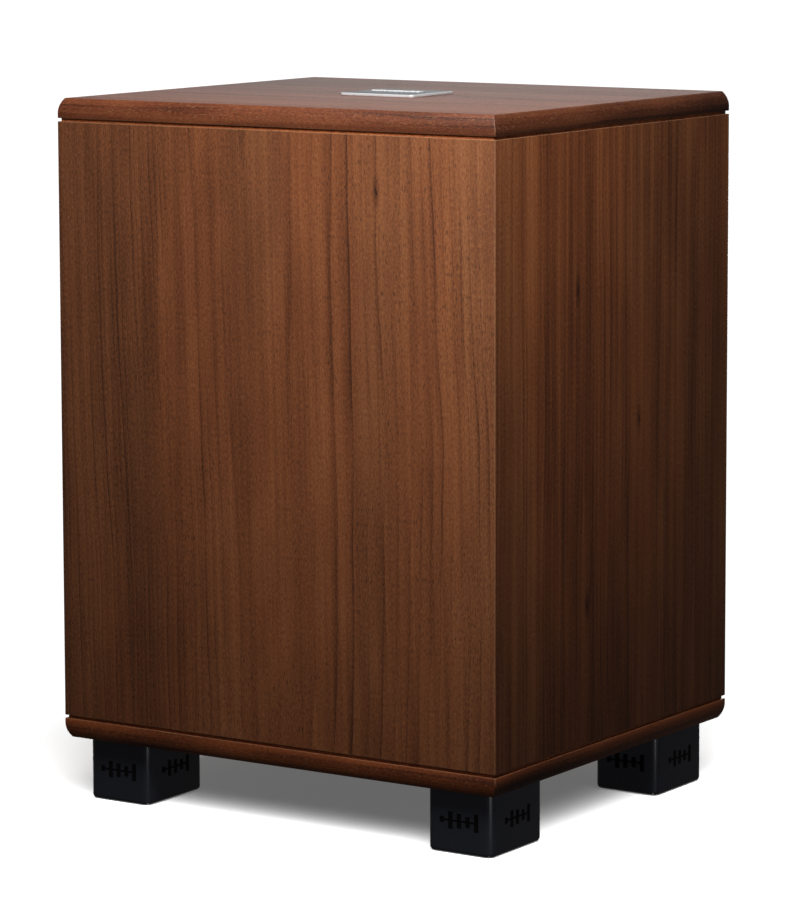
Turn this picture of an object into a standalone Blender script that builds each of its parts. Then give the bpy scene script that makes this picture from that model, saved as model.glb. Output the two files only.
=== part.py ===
"""Powered subwoofer: a veneered box on block feet, with a down-firing ten-inch woofer and a plate amplifier.

Metres, +Z up. The origin is on the floor, under the middle of the whole object. The front faces -Y, and the
amplifier is on the +Y side.
"""

import math

import bmesh
import bpy
from mathutils import Matrix, Vector

# Cabinet
WIDTH = 0.350
DEPTH = 0.304
LID_TOP = 0.4844
FOOT_HEIGHT = 0.044
BOARD = 0.0136  # lid and base plate
WALL = 0.015
REVEAL = 0.0022  # shadow gap above and below the body
REVEAL_DEPTH = 0.0017
REVEAL_RING = 0.013
EDGE_FLAT = 0.0032  # upright part of the lid's edge, below its curve
EDGE_INSET = 0.0036  # how far the curve draws in
BRACE = 0.012
BRACE_Z = 0.372
BRACE_RING = 0.045
GAP = 0.0003  # between pieces that touch

# Amplifier plate and what stands out of it
PLATE_WIDTH = 0.230
PLATE_LOW = 0.095
PLATE_HIGH = 0.335
PLATE = 0.0027
PLATE_SEAL = 0.0007
CUTOUT_MARGIN = 0.015  # how far the plate laps over the rear panel
KNOB_HEIGHT = 0.012

PLATE_IN = PLATE_SEAL + 2 * GAP
REAR_STAND = PLATE_IN + PLATE + KNOB_HEIGHT
FRONT_Y = -(DEPTH + REAR_STAND) / 2
REAR_Y = FRONT_Y + DEPTH
MIDDLE_Y = FRONT_Y + DEPTH / 2
PLATE_Y = REAR_Y + PLATE_IN + PLATE  # the plate's outer face

BODY_LOW = FOOT_HEIGHT + BOARD + REVEAL
BODY_HIGH = LID_TOP - BOARD - REVEAL

# Feet
FOOT_WIDTH = 0.050
FOOT_DEPTH = 0.064
FOOT_X = 0.139
FOOT_Y = 0.107
FOOT_CORNER = 0.0055
FOOT_EDGE = 0.0022
PAD_RADIUS = 0.015
PAD_STAND = 0.0006  # how far the pad holds the foot off the floor
PAD_HEIGHT = 0.0027
BOLT_HEAD = 0.0065
BOLT_HEAD_HEIGHT = 0.005
BOLT_SHAFT = 0.0025
BOLT_HEAD_Z = 0.0062
BOLT_TIP_Z = FOOT_HEIGHT + BOARD - 0.004

# Badge on the lid
BADGE_WIDTH = 0.060
BADGE_DEPTH = 0.052
BADGE_HEIGHT = 0.0015
BADGE_CORNER = 0.003
EMBLEM_WIDTH = 0.040
EMBLEM_DEPTH = 0.0075
EMBLEM_HEIGHT = 0.0006
EMBLEM_BARS = 11
EMBLEM_BAR = 0.0018
EMBLEM_RAIL = 0.0012
EMBLEM_SHORTEST = 0.35  # the shortest bar's share of the tallest one's height

# Woofer, from the floor up: it is let into the base plate from below and fires down
WOOFER_HOLE = 0.116
REBATE_RADIUS = 0.1295
REBATE_DEPTH = 0.006
FLANGE_RADIUS = 0.1285
FRAME_SHEET = 0.0018
FLANGE_Z = 0.0467
FRAME_WALL = 0.1125
FRAME_BEND_Z = 0.072
LEDGE_RADIUS = 0.066
LEDGE_Z = 0.109
CUP_RADIUS = 0.060
FRAME_TOP_Z = 0.1255
WINDOWS = 6
WINDOW_ANGLE = math.radians(38)
WINDOW_INNER = 0.074
WINDOW_OUTER = 0.104
SURROUND_Z = 0.0440
SURROUND_SHEET = 0.0010
ROLL_RADIUS = 0.0062
ROLL_CENTRE = 0.1050
SURROUND_INNER = 0.0930
SURROUND_OUTER = 0.1180
CONE_SHEET = 0.0009
CONE_RADIUS = 0.0980
CONE_Z = 0.0456
CONE_NECK = 0.0264
CONE_NECK_Z = 0.0945
CONE_COLLAR = 0.004
CONE_FLARE = 0.0035  # how far the cone bows out from a straight line
CAP_RADIUS = 0.0400
CAP_SHEET = 0.0008
CAP_RISE = 0.012
CAP_EDGE_Z = 0.0805
FORMER_INNER = 0.0250
FORMER_OUTER = 0.0255
FORMER_LOW = 0.0920
FORMER_HIGH = 0.1444
COIL_INNER = FORMER_OUTER + GAP
COIL_OUTER = 0.0272
COIL_LOW = 0.1180
COIL_HIGH = 0.1434
SPIDER_INNER = FORMER_OUTER + 0.0004
SPIDER_OUTER = 0.0640
SPIDER_Z = 0.1060
SPIDER_SHEET = 0.0006
SPIDER_WAVE = 0.0014
TOP_PLATE_RADIUS = 0.0580
TOP_PLATE_HOLE = 0.0285
TOP_PLATE_LOW = FRAME_TOP_Z + FRAME_SHEET / 2 + GAP
TOP_PLATE_HIGH = TOP_PLATE_LOW + 0.008
MAGNET_RADIUS = 0.0700
MAGNET_HOLE = 0.0330
MAGNET_LOW = TOP_PLATE_HIGH + GAP
MAGNET_HIGH = MAGNET_LOW + 0.020
YOKE_RADIUS = 0.0620
YOKE_LOW = MAGNET_HIGH + GAP
YOKE_HIGH = YOKE_LOW + 0.008
POLE_RADIUS = 0.0240
POLE_LOW = TOP_PLATE_LOW
POLE_VENT = 0.0080
TRIM_INNER = 0.1135
TRIM_OUTER = 0.1215
TRIM_LOW = 0.0410
TRIM_HIGH = SURROUND_Z - SURROUND_SHEET / 2 - GAP
TERMINAL_INNER = 0.0800
TERMINAL_OUTER = 0.0980
TERMINAL_HALF = 0.011
TERMINAL_HEIGHT = 0.006

# Amplifier controls and sockets: places on the plate, and sizes
CONTROL_Z = 0.188
SOCKET_Z = 0.132
CROSSOVER_X = 0.082
LEVEL_X = 0.044
PHASE_X = 0.010
MODE_X = -0.018
LIGHT_X = -0.050
INLET_X = 0.072
ROCKER_X = 0.026
JACK_X = -0.030
JACK_PITCH = 0.026
SHAFT_RADIUS = 0.0030
BUSHING_RADIUS = 0.0045
BUSHING_HEIGHT = 0.0050
POT_RADIUS = 0.0085
POT_DEPTH = 0.012
POT_FLOOR = 0.004
KNOB_RADIUS = 0.0088
KNOB_TIP_RADIUS = 0.0080
KNOB_RECESS = 0.0060
KNOB_LIFT = 0.0006
LEVER_WIDTH = 0.0034
LEVER_LENGTH = 0.0040
LEVER_TRAVEL = 0.0040
LEVER_STAND = 0.0030
LEVER_ROOT = 0.0040  # how deep the lever reaches into its switch
SWITCH_WIDTH = 0.009
SWITCH_LENGTH = 0.019
SWITCH_DEPTH = 0.0095
INLET_FLANGE = (0.034, 0.042)
INLET_BODY = (0.0276, 0.0356)
INLET_LIP = 0.0030
INLET_DEPTH = 0.0200
SOCKET_SIZE = (0.0242, 0.0165)
SOCKET_DEPTH = 0.0180
SOCKET_UP = 0.0080
PIN_SIZE = (0.0020, 0.0040)
PIN_PITCH = 0.0070
PIN_LENGTH = 0.0130
EARTH_UP = 0.0040
DRAWER_SIZE = (0.0236, 0.0066)
DRAWER_DOWN = 0.0125
DRAWER_DEPTH = 0.0190
DRAWER_WALL = 0.0016
DRAWER_FLOOR = 0.0030
DRAWER_PULL = (0.0080, 0.0016)
DRAWER_LIP = 0.0012
ROCKER_FLANGE = (0.0170, 0.0245)
ROCKER_BODY = (0.0138, 0.0212)
ROCKER_WELL = (0.0108, 0.0186)
ROCKER_KEY = (0.0100, 0.0160)
ROCKER_LIP = 0.0015
ROCKER_DEPTH = 0.0140
ROCKER_FLOOR = 0.0020
ROCKER_ENDS = 0.0052  # height of the key's ends above its pivot
ROCKER_DIP = 0.0038
ROCKER_SHOULDER = (0.0006, 0.0008)
ROCKER_KEEL = 0.0030
ROCKER_TILT = math.radians(11)
JACK_BARREL = 0.0042
JACK_REACH = 0.0095
JACK_BORE = 0.0016
JACK_BORE_FLOOR = -0.0020
JACK_NUT = 0.0068
JACK_NUT_HEIGHT = 0.0022
JACK_BODY = 0.0065
JACK_BODY_DEPTH = 0.0090
LIGHT_RADIUS = 0.0015
LIGHT_DOME = 0.0014
LIGHT_DEPTH = 0.0070
SINK_LOW = 0.222
SINK_HIGH = 0.322
SINK_WIDTH = 0.204
SINK_BASE = 0.0032
SINK_FINS = 15
SINK_FIN = 0.0022
BOARD_Y = REAR_Y - 0.0260
BOARD_SHEET = 0.0016
BOARD_LOW = 0.112
BOARD_HIGH = 0.314
BOARD_WIDTH = 0.186
TRANSFORMER_RADIUS = 0.038
TRANSFORMER_HOLE = 0.012
TRANSFORMER_DEPTH = 0.034
TRANSFORMER_PLACE = (0.045, 0.256)
CAPACITOR_RADIUS = 0.0125
CAPACITOR_LENGTH = 0.040
CAPACITOR_PLACES = ((-0.030, 0.268), (-0.062, 0.268))
LEAD_RADIUS = 0.0022
LEAD_STOPS = ((-0.070, 0, 0.185), (-0.068, 0.004, 0.165), (-0.058, 0.006, 0.140),
              (-0.036, 0.010, 0.121), (-0.014, 0.016, 0.111))  # x, how far in front of its start, z
LEAD_END_RADIUS = 0.0950
LEAD_SEGMENTS = 18

ROUND = 36  # sides of the woofer's turned pieces
SMALL_ROUND = 20
SCREW_ROUND = 12
FACE_REAR = (-math.pi / 2, 0, 0)  # turns a piece made along +Z to face +Y


def clear_scene():
    for thing in list(bpy.data.objects):
        bpy.data.objects.remove(thing, do_unlink=True)


def material(name, colour, roughness, metallic=0.0):
    made = bpy.data.materials.new(name)
    made.use_nodes = True
    shader = made.node_tree.nodes["Principled BSDF"]
    shader.inputs["Base Color"].default_value = (*colour, 1.0)
    shader.inputs["Roughness"].default_value = roughness
    shader.inputs["Metallic"].default_value = metallic
    return made


def node(name, bm, finish, place=(0, 0, 0), turn=(0, 0, 0), smooth=False):
    """One solid of the model, from a closed bmesh."""
    bmesh.ops.recalc_face_normals(bm, faces=bm.faces)
    mesh = bpy.data.meshes.new(name)
    bm.to_mesh(mesh)
    bm.free()
    if smooth:
        mesh.shade_smooth()
        mesh.set_sharp_from_angle(angle=math.radians(35))
    made = bpy.data.objects.new(name, mesh)
    made.location = place
    made.rotation_euler = turn
    made.data.materials.append(finish)
    bpy.context.scene.collection.objects.link(made)
    return made


def combine(target, bm, operation, place=(0, 0, 0), turn=(0, 0, 0)):
    """A Boolean on a node, with a guide that stays out of the model."""
    guide = node(f"{target.name}_guide_{len(target.modifiers)}", bm, target.data.materials[0], place, turn)
    guide.hide_render = True
    guide.display_type = "WIRE"
    step = target.modifiers.new(operation.lower(), "BOOLEAN")
    step.operation = operation
    step.solver = "EXACT"
    step.object = guide


def cut(target, bm, place=(0, 0, 0), turn=(0, 0, 0)):
    combine(target, bm, "DIFFERENCE", place, turn)


def box(low, high):
    bm = bmesh.new()
    size = Vector(high) - Vector(low)
    centre = (Vector(high) + Vector(low)) / 2
    bmesh.ops.create_cube(bm, size=1, matrix=Matrix.Translation(centre) @ Matrix.Diagonal((*size, 1)))
    return bm


def stack(rings):
    """A closed body through rings of points that all have the same count, capped at both ends."""
    bm = bmesh.new()
    loops = [[bm.verts.new(point) for point in ring] for ring in rings]
    for lower, upper in zip(loops, loops[1:]):
        for here, after in zip(range(len(lower)), [*range(1, len(lower)), 0]):
            bm.faces.new((lower[here], lower[after], upper[after], upper[here]))
    bm.faces.new(loops[0])
    bm.faces.new(loops[-1])
    return bm


def prism(outline, low, high):
    """An outline in X and Y, extruded up Z."""
    return stack([[(x, y, z) for x, y in outline] for z in (low, high)])


def rectangle(width, depth, corner=0.0, steps=1):
    """A centred outline, with its corners rounded by arcs."""
    points = []
    for turn, (sx, sy) in enumerate(((1, 1), (-1, 1), (-1, -1), (1, -1))):
        middle = (sx * (width / 2 - corner), sy * (depth / 2 - corner))
        for step in range(steps + 1 if corner else 1):
            angle = math.pi / 2 * (turn + step / steps)
            points.append((middle[0] + corner * math.cos(angle), middle[1] + corner * math.sin(angle)))
    return points if corner else [(width / 2, depth / 2), (-width / 2, depth / 2),
                                  (-width / 2, -depth / 2), (width / 2, -depth / 2)]


def turned(profile, sides=SMALL_ROUND):
    """A profile of (radius, height) spun about Z: a closed loop, unless both of its ends are on the axis."""
    bm = bmesh.new()
    points = [bm.verts.new((radius, 0, height)) for radius, height in profile]
    edges = [bm.edges.new(pair) for pair in zip(points, points[1:])]
    if profile[0][0] > 0:
        edges.append(bm.edges.new((points[-1], points[0])))
    bmesh.ops.spin(bm, geom=points + edges, cent=(0, 0, 0), axis=(0, 0, 1), angle=2 * math.pi,
                   steps=sides, use_merge=True)
    bmesh.ops.remove_doubles(bm, verts=bm.verts, dist=1e-6)
    return bm


def ring(inner, outer, low, high, sides=ROUND):
    return turned([(inner, high), (outer, high), (outer, low), (inner, low)], sides)


def disc(radius, low, high, sides=SMALL_ROUND):
    return turned([(0, high), (radius, high), (radius, low), (0, low)], sides)


def sheet(path, thickness):
    """A path thickened by half a sheet on each side. A path that starts on the axis stays open there."""
    points = [Vector(point) for point in path]
    runs = [(after - here).normalized() for here, after in zip(points, points[1:])]
    sides = []
    for side in (1, -1):
        moved = []
        for point, before, after in zip(points, [runs[0], *runs], [*runs, runs[-1]]):
            along = (before + after).normalized()
            half = side * thickness / 2 / along.dot(before)
            moved.append((point.x - along.y * half, point.y + along.x * half))
        if points[0].x == 0:
            moved[0] = (0, moved[0][1])
        sides.append(moved)
    return [*reversed(sides[0]), *sides[1]] if points[0].x else [*sides[0], *reversed(sides[1])]


def edge_curve(steps=6):
    """The lid's edge from its upright part to its flat: pairs of inset and height."""
    height = BOARD - EDGE_FLAT
    radius = (height**2 + EDGE_INSET**2) / (2 * EDGE_INSET)
    sweep = math.asin(height / radius)
    angles = [sweep * step / steps for step in range(steps + 1)]
    return [(radius * (1 - math.cos(angle)), EDGE_FLAT + radius * math.sin(angle)) for angle in angles]


def edged_board(flat_z, direction):
    """A board as wide as the cabinet. Its edge starts upright at flat_z and curves in to its other face."""
    rings = []
    for inset, height in [(0, 0), *edge_curve()]:
        outline = rectangle(WIDTH - 2 * inset, DEPTH - 2 * inset)
        rings.append([(x, y, flat_z + direction * height) for x, y in outline])
    return stack(rings)


def mitred_panel(name, length, face, turn, finish):
    """A wall of the body: it runs along local X, its outer face is at local -Y, and its ends are mitred."""
    slack = GAP / math.sqrt(2)
    outer = length / 2 - slack
    inner = outer - WALL
    outline = [(-outer, -face), (outer, -face), (inner, WALL - face), (-inner, WALL - face)]
    return node(name, prism(outline, BODY_LOW, BODY_HIGH), finish, (0, MIDDLE_Y, 0), (0, 0, turn))


def frame_board(name, width, depth, rim, low, high, finish):
    """A flat board with a window."""
    made = node(name, prism(rectangle(width, depth), low, high), finish, (0, MIDDLE_Y, 0))
    window = prism(rectangle(width - 2 * rim, depth - 2 * rim), low - BOARD, high + BOARD)
    cut(made, window, (0, MIDDLE_Y, 0))
    return made


def make_cabinet(veneer, board, foot_places):
    right_angle = math.pi / 2
    mitred_panel("front_panel", WIDTH, DEPTH / 2, 0, veneer)
    mitred_panel("right_panel", DEPTH, WIDTH / 2, right_angle, veneer)
    mitred_panel("left_panel", DEPTH, WIDTH / 2, -right_angle, veneer)
    rear = mitred_panel("rear_panel", WIDTH, DEPTH / 2, 2 * right_angle, veneer)
    half = PLATE_WIDTH / 2 - CUTOUT_MARGIN
    cut(rear, box((-half, REAR_Y - 2 * WALL, PLATE_LOW + CUTOUT_MARGIN),
                  (half, REAR_Y + WALL, PLATE_HIGH - CUTOUT_MARGIN)))

    node("lid_panel", edged_board(LID_TOP - BOARD, 1), veneer, (0, MIDDLE_Y, 0))
    base = node("base_panel", edged_board(FOOT_HEIGHT + BOARD, -1), veneer, (0, MIDDLE_Y, 0))
    seat = FOOT_HEIGHT + REBATE_DEPTH
    above = BODY_LOW + BOARD
    hole = turned([(0, above), (WOOFER_HOLE, above), (WOOFER_HOLE, seat), (REBATE_RADIUS, seat),
                   (REBATE_RADIUS, 0), (0, 0)], ROUND)
    cut(base, hole, (0, MIDDLE_Y, 0))
    for x, y in foot_places:
        cut(base, disc(BOLT_SHAFT + GAP, 0, BOLT_TIP_Z + GAP, SCREW_ROUND), (x, y, 0))

    width = WIDTH - 2 * REVEAL_DEPTH
    depth = DEPTH - 2 * REVEAL_DEPTH
    for name, low in (("top_reveal_frame", BODY_HIGH), ("base_reveal_frame", BODY_LOW - REVEAL)):
        frame_board(name, width, depth, REVEAL_RING, low + GAP, low + REVEAL - GAP, board)
    inside = 2 * (WALL + GAP)
    frame_board("window_brace", WIDTH - inside, DEPTH - inside, BRACE_RING, BRACE_Z, BRACE_Z + BRACE, board)


def make_badge(plate, chrome):
    low = LID_TOP + GAP
    outline = rectangle(BADGE_WIDTH, BADGE_DEPTH, BADGE_CORNER, 4)
    node("badge_plate", prism(outline, low, low + BADGE_HEIGHT), plate, (0, MIDDLE_Y, 0))
    rail = EMBLEM_RAIL / 2
    top = []
    for number in range(EMBLEM_BARS):
        share = number / (EMBLEM_BARS - 1)
        x = (share - 0.5) * (EMBLEM_WIDTH - EMBLEM_BAR)
        swell = abs(math.sin(1.5 * math.pi * share))
        reach = EMBLEM_DEPTH / 2 * (EMBLEM_SHORTEST + (1 - EMBLEM_SHORTEST) * swell)
        for side, y in ((-1, rail), (-1, reach), (1, reach), (1, rail)):
            top.append((x + side * EMBLEM_BAR / 2, y))
    bars = prism([*top, *((x, -y) for x, y in reversed(top))], 0, EMBLEM_HEIGHT)
    bmesh.ops.remove_doubles(bars, verts=bars.verts, dist=1e-6)
    node("badge_emblem", bars, chrome, (0, MIDDLE_Y, low + BADGE_HEIGHT + GAP))


def make_foot(side, x, y, plastic, rubber, steel):
    inset = [(FOOT_EDGE * (1 - math.sin(angle)), FOOT_EDGE * (1 - math.cos(angle)))
             for angle in (0, math.pi / 6, math.pi / 3, math.pi / 2)]
    rings = []
    for draw_in, height in [*inset, (0, FOOT_HEIGHT - GAP - PAD_STAND)]:
        outline = rectangle(FOOT_WIDTH - 2 * draw_in, FOOT_DEPTH - 2 * draw_in, FOOT_CORNER - draw_in, 4)
        rings.append([(px, py, PAD_STAND + height) for px, py in outline])
    foot = node(f"foot_{side}", stack(rings), plastic, (x, y, 0), smooth=True)
    head_top = BOLT_HEAD_Z + BOLT_HEAD_HEIGHT + GAP
    recess = turned([(0, FOOT_HEIGHT + BOARD), (BOLT_SHAFT + GAP, FOOT_HEIGHT + BOARD),
                     (BOLT_SHAFT + GAP, head_top), (BOLT_HEAD + GAP, head_top),
                     (BOLT_HEAD + GAP, PAD_HEIGHT + GAP), (PAD_RADIUS + GAP, PAD_HEIGHT + GAP),
                     (PAD_RADIUS + GAP, -BOARD), (0, -BOARD)])
    cut(foot, recess, (x, y, 0))
    node(f"foot_pad_{side}", disc(PAD_RADIUS, 0, PAD_HEIGHT), rubber, (x, y, 0), smooth=True)
    bolt = turned([(0, BOLT_TIP_Z), (BOLT_SHAFT, BOLT_TIP_Z - BOLT_SHAFT),
                   (BOLT_SHAFT, BOLT_HEAD_Z + BOLT_HEAD_HEIGHT), (BOLT_HEAD, BOLT_HEAD_Z + BOLT_HEAD_HEIGHT),
                   (BOLT_HEAD, BOLT_HEAD_Z), (0, BOLT_HEAD_Z)], SCREW_ROUND)
    node(f"foot_bolt_{side}", bolt, steel, (x, y, 0), smooth=True)


def woofer_node(name, bm, finish):
    return node(name, bm, finish, (0, MIDDLE_Y, 0), smooth=True)


def cone_path():
    """The cone from its rim to its neck, with a little flare, and the collar that grips the coil's former."""
    steps = 5
    path = []
    for step in range(steps + 1):
        share = step / steps
        radius = CONE_RADIUS + (CONE_NECK - CONE_RADIUS) * share
        height = CONE_Z + (CONE_NECK_Z - CONE_Z) * share
        path.append((radius, height - CONE_FLARE * math.sin(math.pi * share)))
    return [*path, (CONE_NECK, CONE_NECK_Z + CONE_COLLAR)]


def cap_path():
    """The dust cap: a shallow dome that bulges down."""
    steps = 5
    radius = (CAP_RADIUS**2 + CAP_RISE**2) / (2 * CAP_RISE)
    sweep = math.asin(CAP_RADIUS / radius)
    path = []
    for step in range(steps + 1):
        angle = sweep * step / steps
        path.append((radius * math.sin(angle), CAP_EDGE_Z - CAP_RISE + radius * (1 - math.cos(angle))))
    return path


def surround_path():
    steps = 7
    path = [(SURROUND_INNER, SURROUND_Z)]
    for step in range(steps + 1):
        angle = math.pi * (1 + step / steps)
        path.append((ROLL_CENTRE + ROLL_RADIUS * math.cos(angle), SURROUND_Z + ROLL_RADIUS * math.sin(angle)))
    return [*path, (SURROUND_OUTER, SURROUND_Z)]


def spider_path():
    """The centring spider: a cloth disc pressed into round waves."""
    waves = 2
    steps = 4 * waves
    path = []
    for step in range(steps + 1):
        share = step / steps
        radius = SPIDER_INNER + (SPIDER_OUTER - SPIDER_INNER) * share
        path.append((radius, SPIDER_Z + SPIDER_WAVE * math.sin(2 * math.pi * waves * share)))
    return path


def window_cutter(turn):
    """A slice of a ring in plan, tall enough to open the frame's sloping wall."""
    steps = 3
    outline = []
    for radius, order in ((WINDOW_OUTER, 1), (WINDOW_INNER, -1)):
        arc = [turn + WINDOW_ANGLE * (step / steps - 0.5) for step in range(steps + 1)][::order]
        outline += [(radius * math.cos(angle), radius * math.sin(angle)) for angle in arc]
    return prism(outline, FRAME_BEND_Z - FRAME_SHEET, LEDGE_Z + BOARD)


def make_frame(metal):
    path = [(FLANGE_RADIUS, FLANGE_Z), (FRAME_WALL, FLANGE_Z), (FRAME_WALL, FRAME_BEND_Z),
            (LEDGE_RADIUS, LEDGE_Z), (CUP_RADIUS, LEDGE_Z), (CUP_RADIUS, FRAME_TOP_Z),
            (TOP_PLATE_HOLE, FRAME_TOP_Z)]
    frame = woofer_node("woofer_basket", turned(sheet(path, FRAME_SHEET), ROUND), metal)
    for number in range(WINDOWS):
        cut(frame, window_cutter(2 * math.pi * number / WINDOWS), (0, MIDDLE_Y, 0))


def wall_point(radius, lift):
    """A point above the frame's sloping wall, in the plane of X = 0."""
    slope = Vector((LEDGE_RADIUS - FRAME_WALL, LEDGE_Z - FRAME_BEND_Z)).normalized()
    share = (radius - FRAME_WALL) / (LEDGE_RADIUS - FRAME_WALL)
    height = FRAME_BEND_Z + share * (LEDGE_Z - FRAME_BEND_Z)
    return Vector((radius + slope.y * lift, height - slope.x * lift))


def make_terminal(plastic):
    """The block where the woofer's leads end, on one spoke of the frame."""
    lift = FRAME_SHEET / 2 + GAP
    top = lift + TERMINAL_HEIGHT
    outline = [wall_point(TERMINAL_INNER, lift), wall_point(TERMINAL_OUTER, lift),
               wall_point(TERMINAL_OUTER, top), wall_point(TERMINAL_INNER, top)]
    bm = prism([(point.x, point.y) for point in outline], -TERMINAL_HALF, TERMINAL_HALF)
    # the outline's X and Y become Y and Z, and its thickness runs along X
    spoke = math.pi / 2
    node("terminal_strip", bm, plastic, (0, MIDDLE_Y, 0), (spoke, 0, spoke))


def make_woofer(metal, rubber, steel, ferrite, paper, cloth, copper, kapton, plastic):
    make_frame(metal)
    low = FLANGE_Z + FRAME_SHEET / 2 + GAP
    high = FOOT_HEIGHT + REBATE_DEPTH - GAP
    woofer_node("woofer_gasket", ring(WOOFER_HOLE, FLANGE_RADIUS, low, high), rubber)
    woofer_node("woofer_trim_ring", ring(TRIM_INNER, TRIM_OUTER, TRIM_LOW, TRIM_HIGH), rubber)
    top_plate = ring(TOP_PLATE_HOLE, TOP_PLATE_RADIUS, TOP_PLATE_LOW, TOP_PLATE_HIGH)
    woofer_node("magnet_top_plate", top_plate, steel)
    woofer_node("ferrite_magnet", ring(MAGNET_HOLE, MAGNET_RADIUS, MAGNET_LOW, MAGNET_HIGH), ferrite)
    yoke = turned([(POLE_VENT, YOKE_HIGH), (YOKE_RADIUS, YOKE_HIGH), (YOKE_RADIUS, YOKE_LOW),
                   (POLE_RADIUS, YOKE_LOW), (POLE_RADIUS, POLE_LOW), (POLE_VENT, POLE_LOW)], ROUND)
    woofer_node("magnet_yoke", yoke, steel)
    woofer_node("surround", turned(sheet(surround_path(), SURROUND_SHEET), ROUND), rubber)
    woofer_node("spider", turned(sheet(spider_path(), SPIDER_SHEET), SMALL_ROUND), cloth)
    woofer_node("cone", turned(sheet(cone_path(), CONE_SHEET), ROUND), paper)
    woofer_node("dust_cap", turned(sheet(cap_path(), CAP_SHEET), SMALL_ROUND), paper)
    woofer_node("coil_former", ring(FORMER_INNER, FORMER_OUTER, FORMER_LOW, FORMER_HIGH, ROUND), kapton)
    woofer_node("voice_coil", ring(COIL_INNER, COIL_OUTER, COIL_LOW, COIL_HIGH, ROUND), copper)
    make_terminal(plastic)


def on_plate(x, z):
    """A place on the amplifier plate's outer face."""
    return (x, PLATE_Y, z)


def plate_block(x, z, size, inner, outer):
    """A block that goes through the plate, from a depth behind its outer face to a height above it."""
    half_x, half_z = size[0] / 2, size[1] / 2
    return box((x - half_x, PLATE_Y + inner, z - half_z), (x + half_x, PLATE_Y + outer, z + half_z))


def make_plate(metal, seal):
    low = REAR_Y + PLATE_IN
    half = PLATE_WIDTH / 2
    plate = node("amp_plate", box((-half, low, PLATE_LOW), (half, PLATE_Y, PLATE_HIGH)), metal)
    gasket = node("amp_gasket", box((-half, REAR_Y + GAP, PLATE_LOW), (half, low - GAP, PLATE_HIGH)), seal)
    inside = half - CUTOUT_MARGIN
    cut(gasket, box((-inside, REAR_Y - WALL, PLATE_LOW + CUTOUT_MARGIN),
                    (inside, REAR_Y + WALL, PLATE_HIGH - CUTOUT_MARGIN)))
    through = 2 * WALL
    rooms = [(INLET_X, SOCKET_Z, INLET_BODY), (ROCKER_X, SOCKET_Z, ROCKER_BODY)]
    for x, z, size in rooms:
        cut(plate, plate_block(x, z, (size[0] + 2 * GAP, size[1] + 2 * GAP), -through, through))
    for x in (PHASE_X, MODE_X):
        slot = (LEVER_WIDTH + 4 * GAP, LEVER_LENGTH + LEVER_TRAVEL + 4 * GAP)
        cut(plate, plate_block(x, CONTROL_Z, slot, -through, through))
    holes = [(CROSSOVER_X, CONTROL_Z, BUSHING_RADIUS), (LEVEL_X, CONTROL_Z, BUSHING_RADIUS),
             (LIGHT_X, CONTROL_Z, LIGHT_RADIUS)]
    holes += [(JACK_X - JACK_PITCH * number, SOCKET_Z, JACK_BARREL + GAP) for number in range(3)]
    for x, z, radius in holes:
        cut(plate, disc(radius + GAP, -through, through), on_plate(x, z), FACE_REAR)


def make_heat_sink(metal):
    """A finned block: one comb outline, extruded upwards."""
    half = SINK_WIDTH / 2
    foot = PLATE_Y + GAP
    tip = PLATE_Y + KNOB_HEIGHT
    root = foot + SINK_BASE
    outline = [(-half, foot), (half, foot)]
    for number in reversed(range(SINK_FINS)):
        left = -half + number * (SINK_WIDTH - SINK_FIN) / (SINK_FINS - 1)
        outline += [(left + SINK_FIN, root), (left + SINK_FIN, tip), (left, tip), (left, root)]
    made = prism(outline, SINK_LOW, SINK_HIGH)
    bmesh.ops.dissolve_degenerate(made, dist=1e-6, edges=made.edges)
    node("heat_sink", made, metal)


def make_control(name, x, plastic, metal):
    """A turning control: the pot behind the plate, and the knob with its shaft."""
    bore = SHAFT_RADIUS + GAP
    inside = -PLATE - GAP
    bottom = inside - POT_DEPTH
    shaft_end = bottom + POT_FLOOR
    pot = turned([(0, shaft_end - GAP), (bore, shaft_end - GAP), (bore, BUSHING_HEIGHT),
                  (BUSHING_RADIUS, BUSHING_HEIGHT), (BUSHING_RADIUS, inside), (POT_RADIUS, inside),
                  (POT_RADIUS, bottom), (0, bottom)])
    node(f"{name}_pot", pot, metal, on_plate(x, CONTROL_Z), FACE_REAR, smooth=True)
    ceiling = BUSHING_HEIGHT + KNOB_LIFT
    knob = turned([(0, KNOB_HEIGHT), (KNOB_TIP_RADIUS, KNOB_HEIGHT), (KNOB_RADIUS, KNOB_LIFT),
                   (KNOB_RECESS, KNOB_LIFT), (KNOB_RECESS, ceiling), (SHAFT_RADIUS, ceiling),
                   (SHAFT_RADIUS, shaft_end), (0, shaft_end)])
    node(f"{name}_knob", knob, plastic, on_plate(x, CONTROL_Z), FACE_REAR, smooth=True)


def make_slide_switch(name, x, plastic, metal):
    """A two-way slide switch: its lever rests at the lower end of the slot."""
    back = -PLATE - GAP
    slot = (LEVER_WIDTH + 4 * GAP, LEVER_LENGTH + LEVER_TRAVEL + 4 * GAP)
    body = node(f"{name}_switch_body",
                plate_block(x, CONTROL_Z, (SWITCH_WIDTH, SWITCH_LENGTH), back - SWITCH_DEPTH, back), metal)
    lever_end = back - LEVER_ROOT
    cut(body, plate_block(x, CONTROL_Z, slot, lever_end - GAP, WALL))
    size = (LEVER_WIDTH / 2, LEVER_LENGTH / 2)
    lever = box((-size[0], lever_end, -size[1]), (size[0], LEVER_STAND, size[1]))
    node(f"{name}_lever", lever, plastic, on_plate(x, CONTROL_Z - LEVER_TRAVEL / 2))


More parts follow.
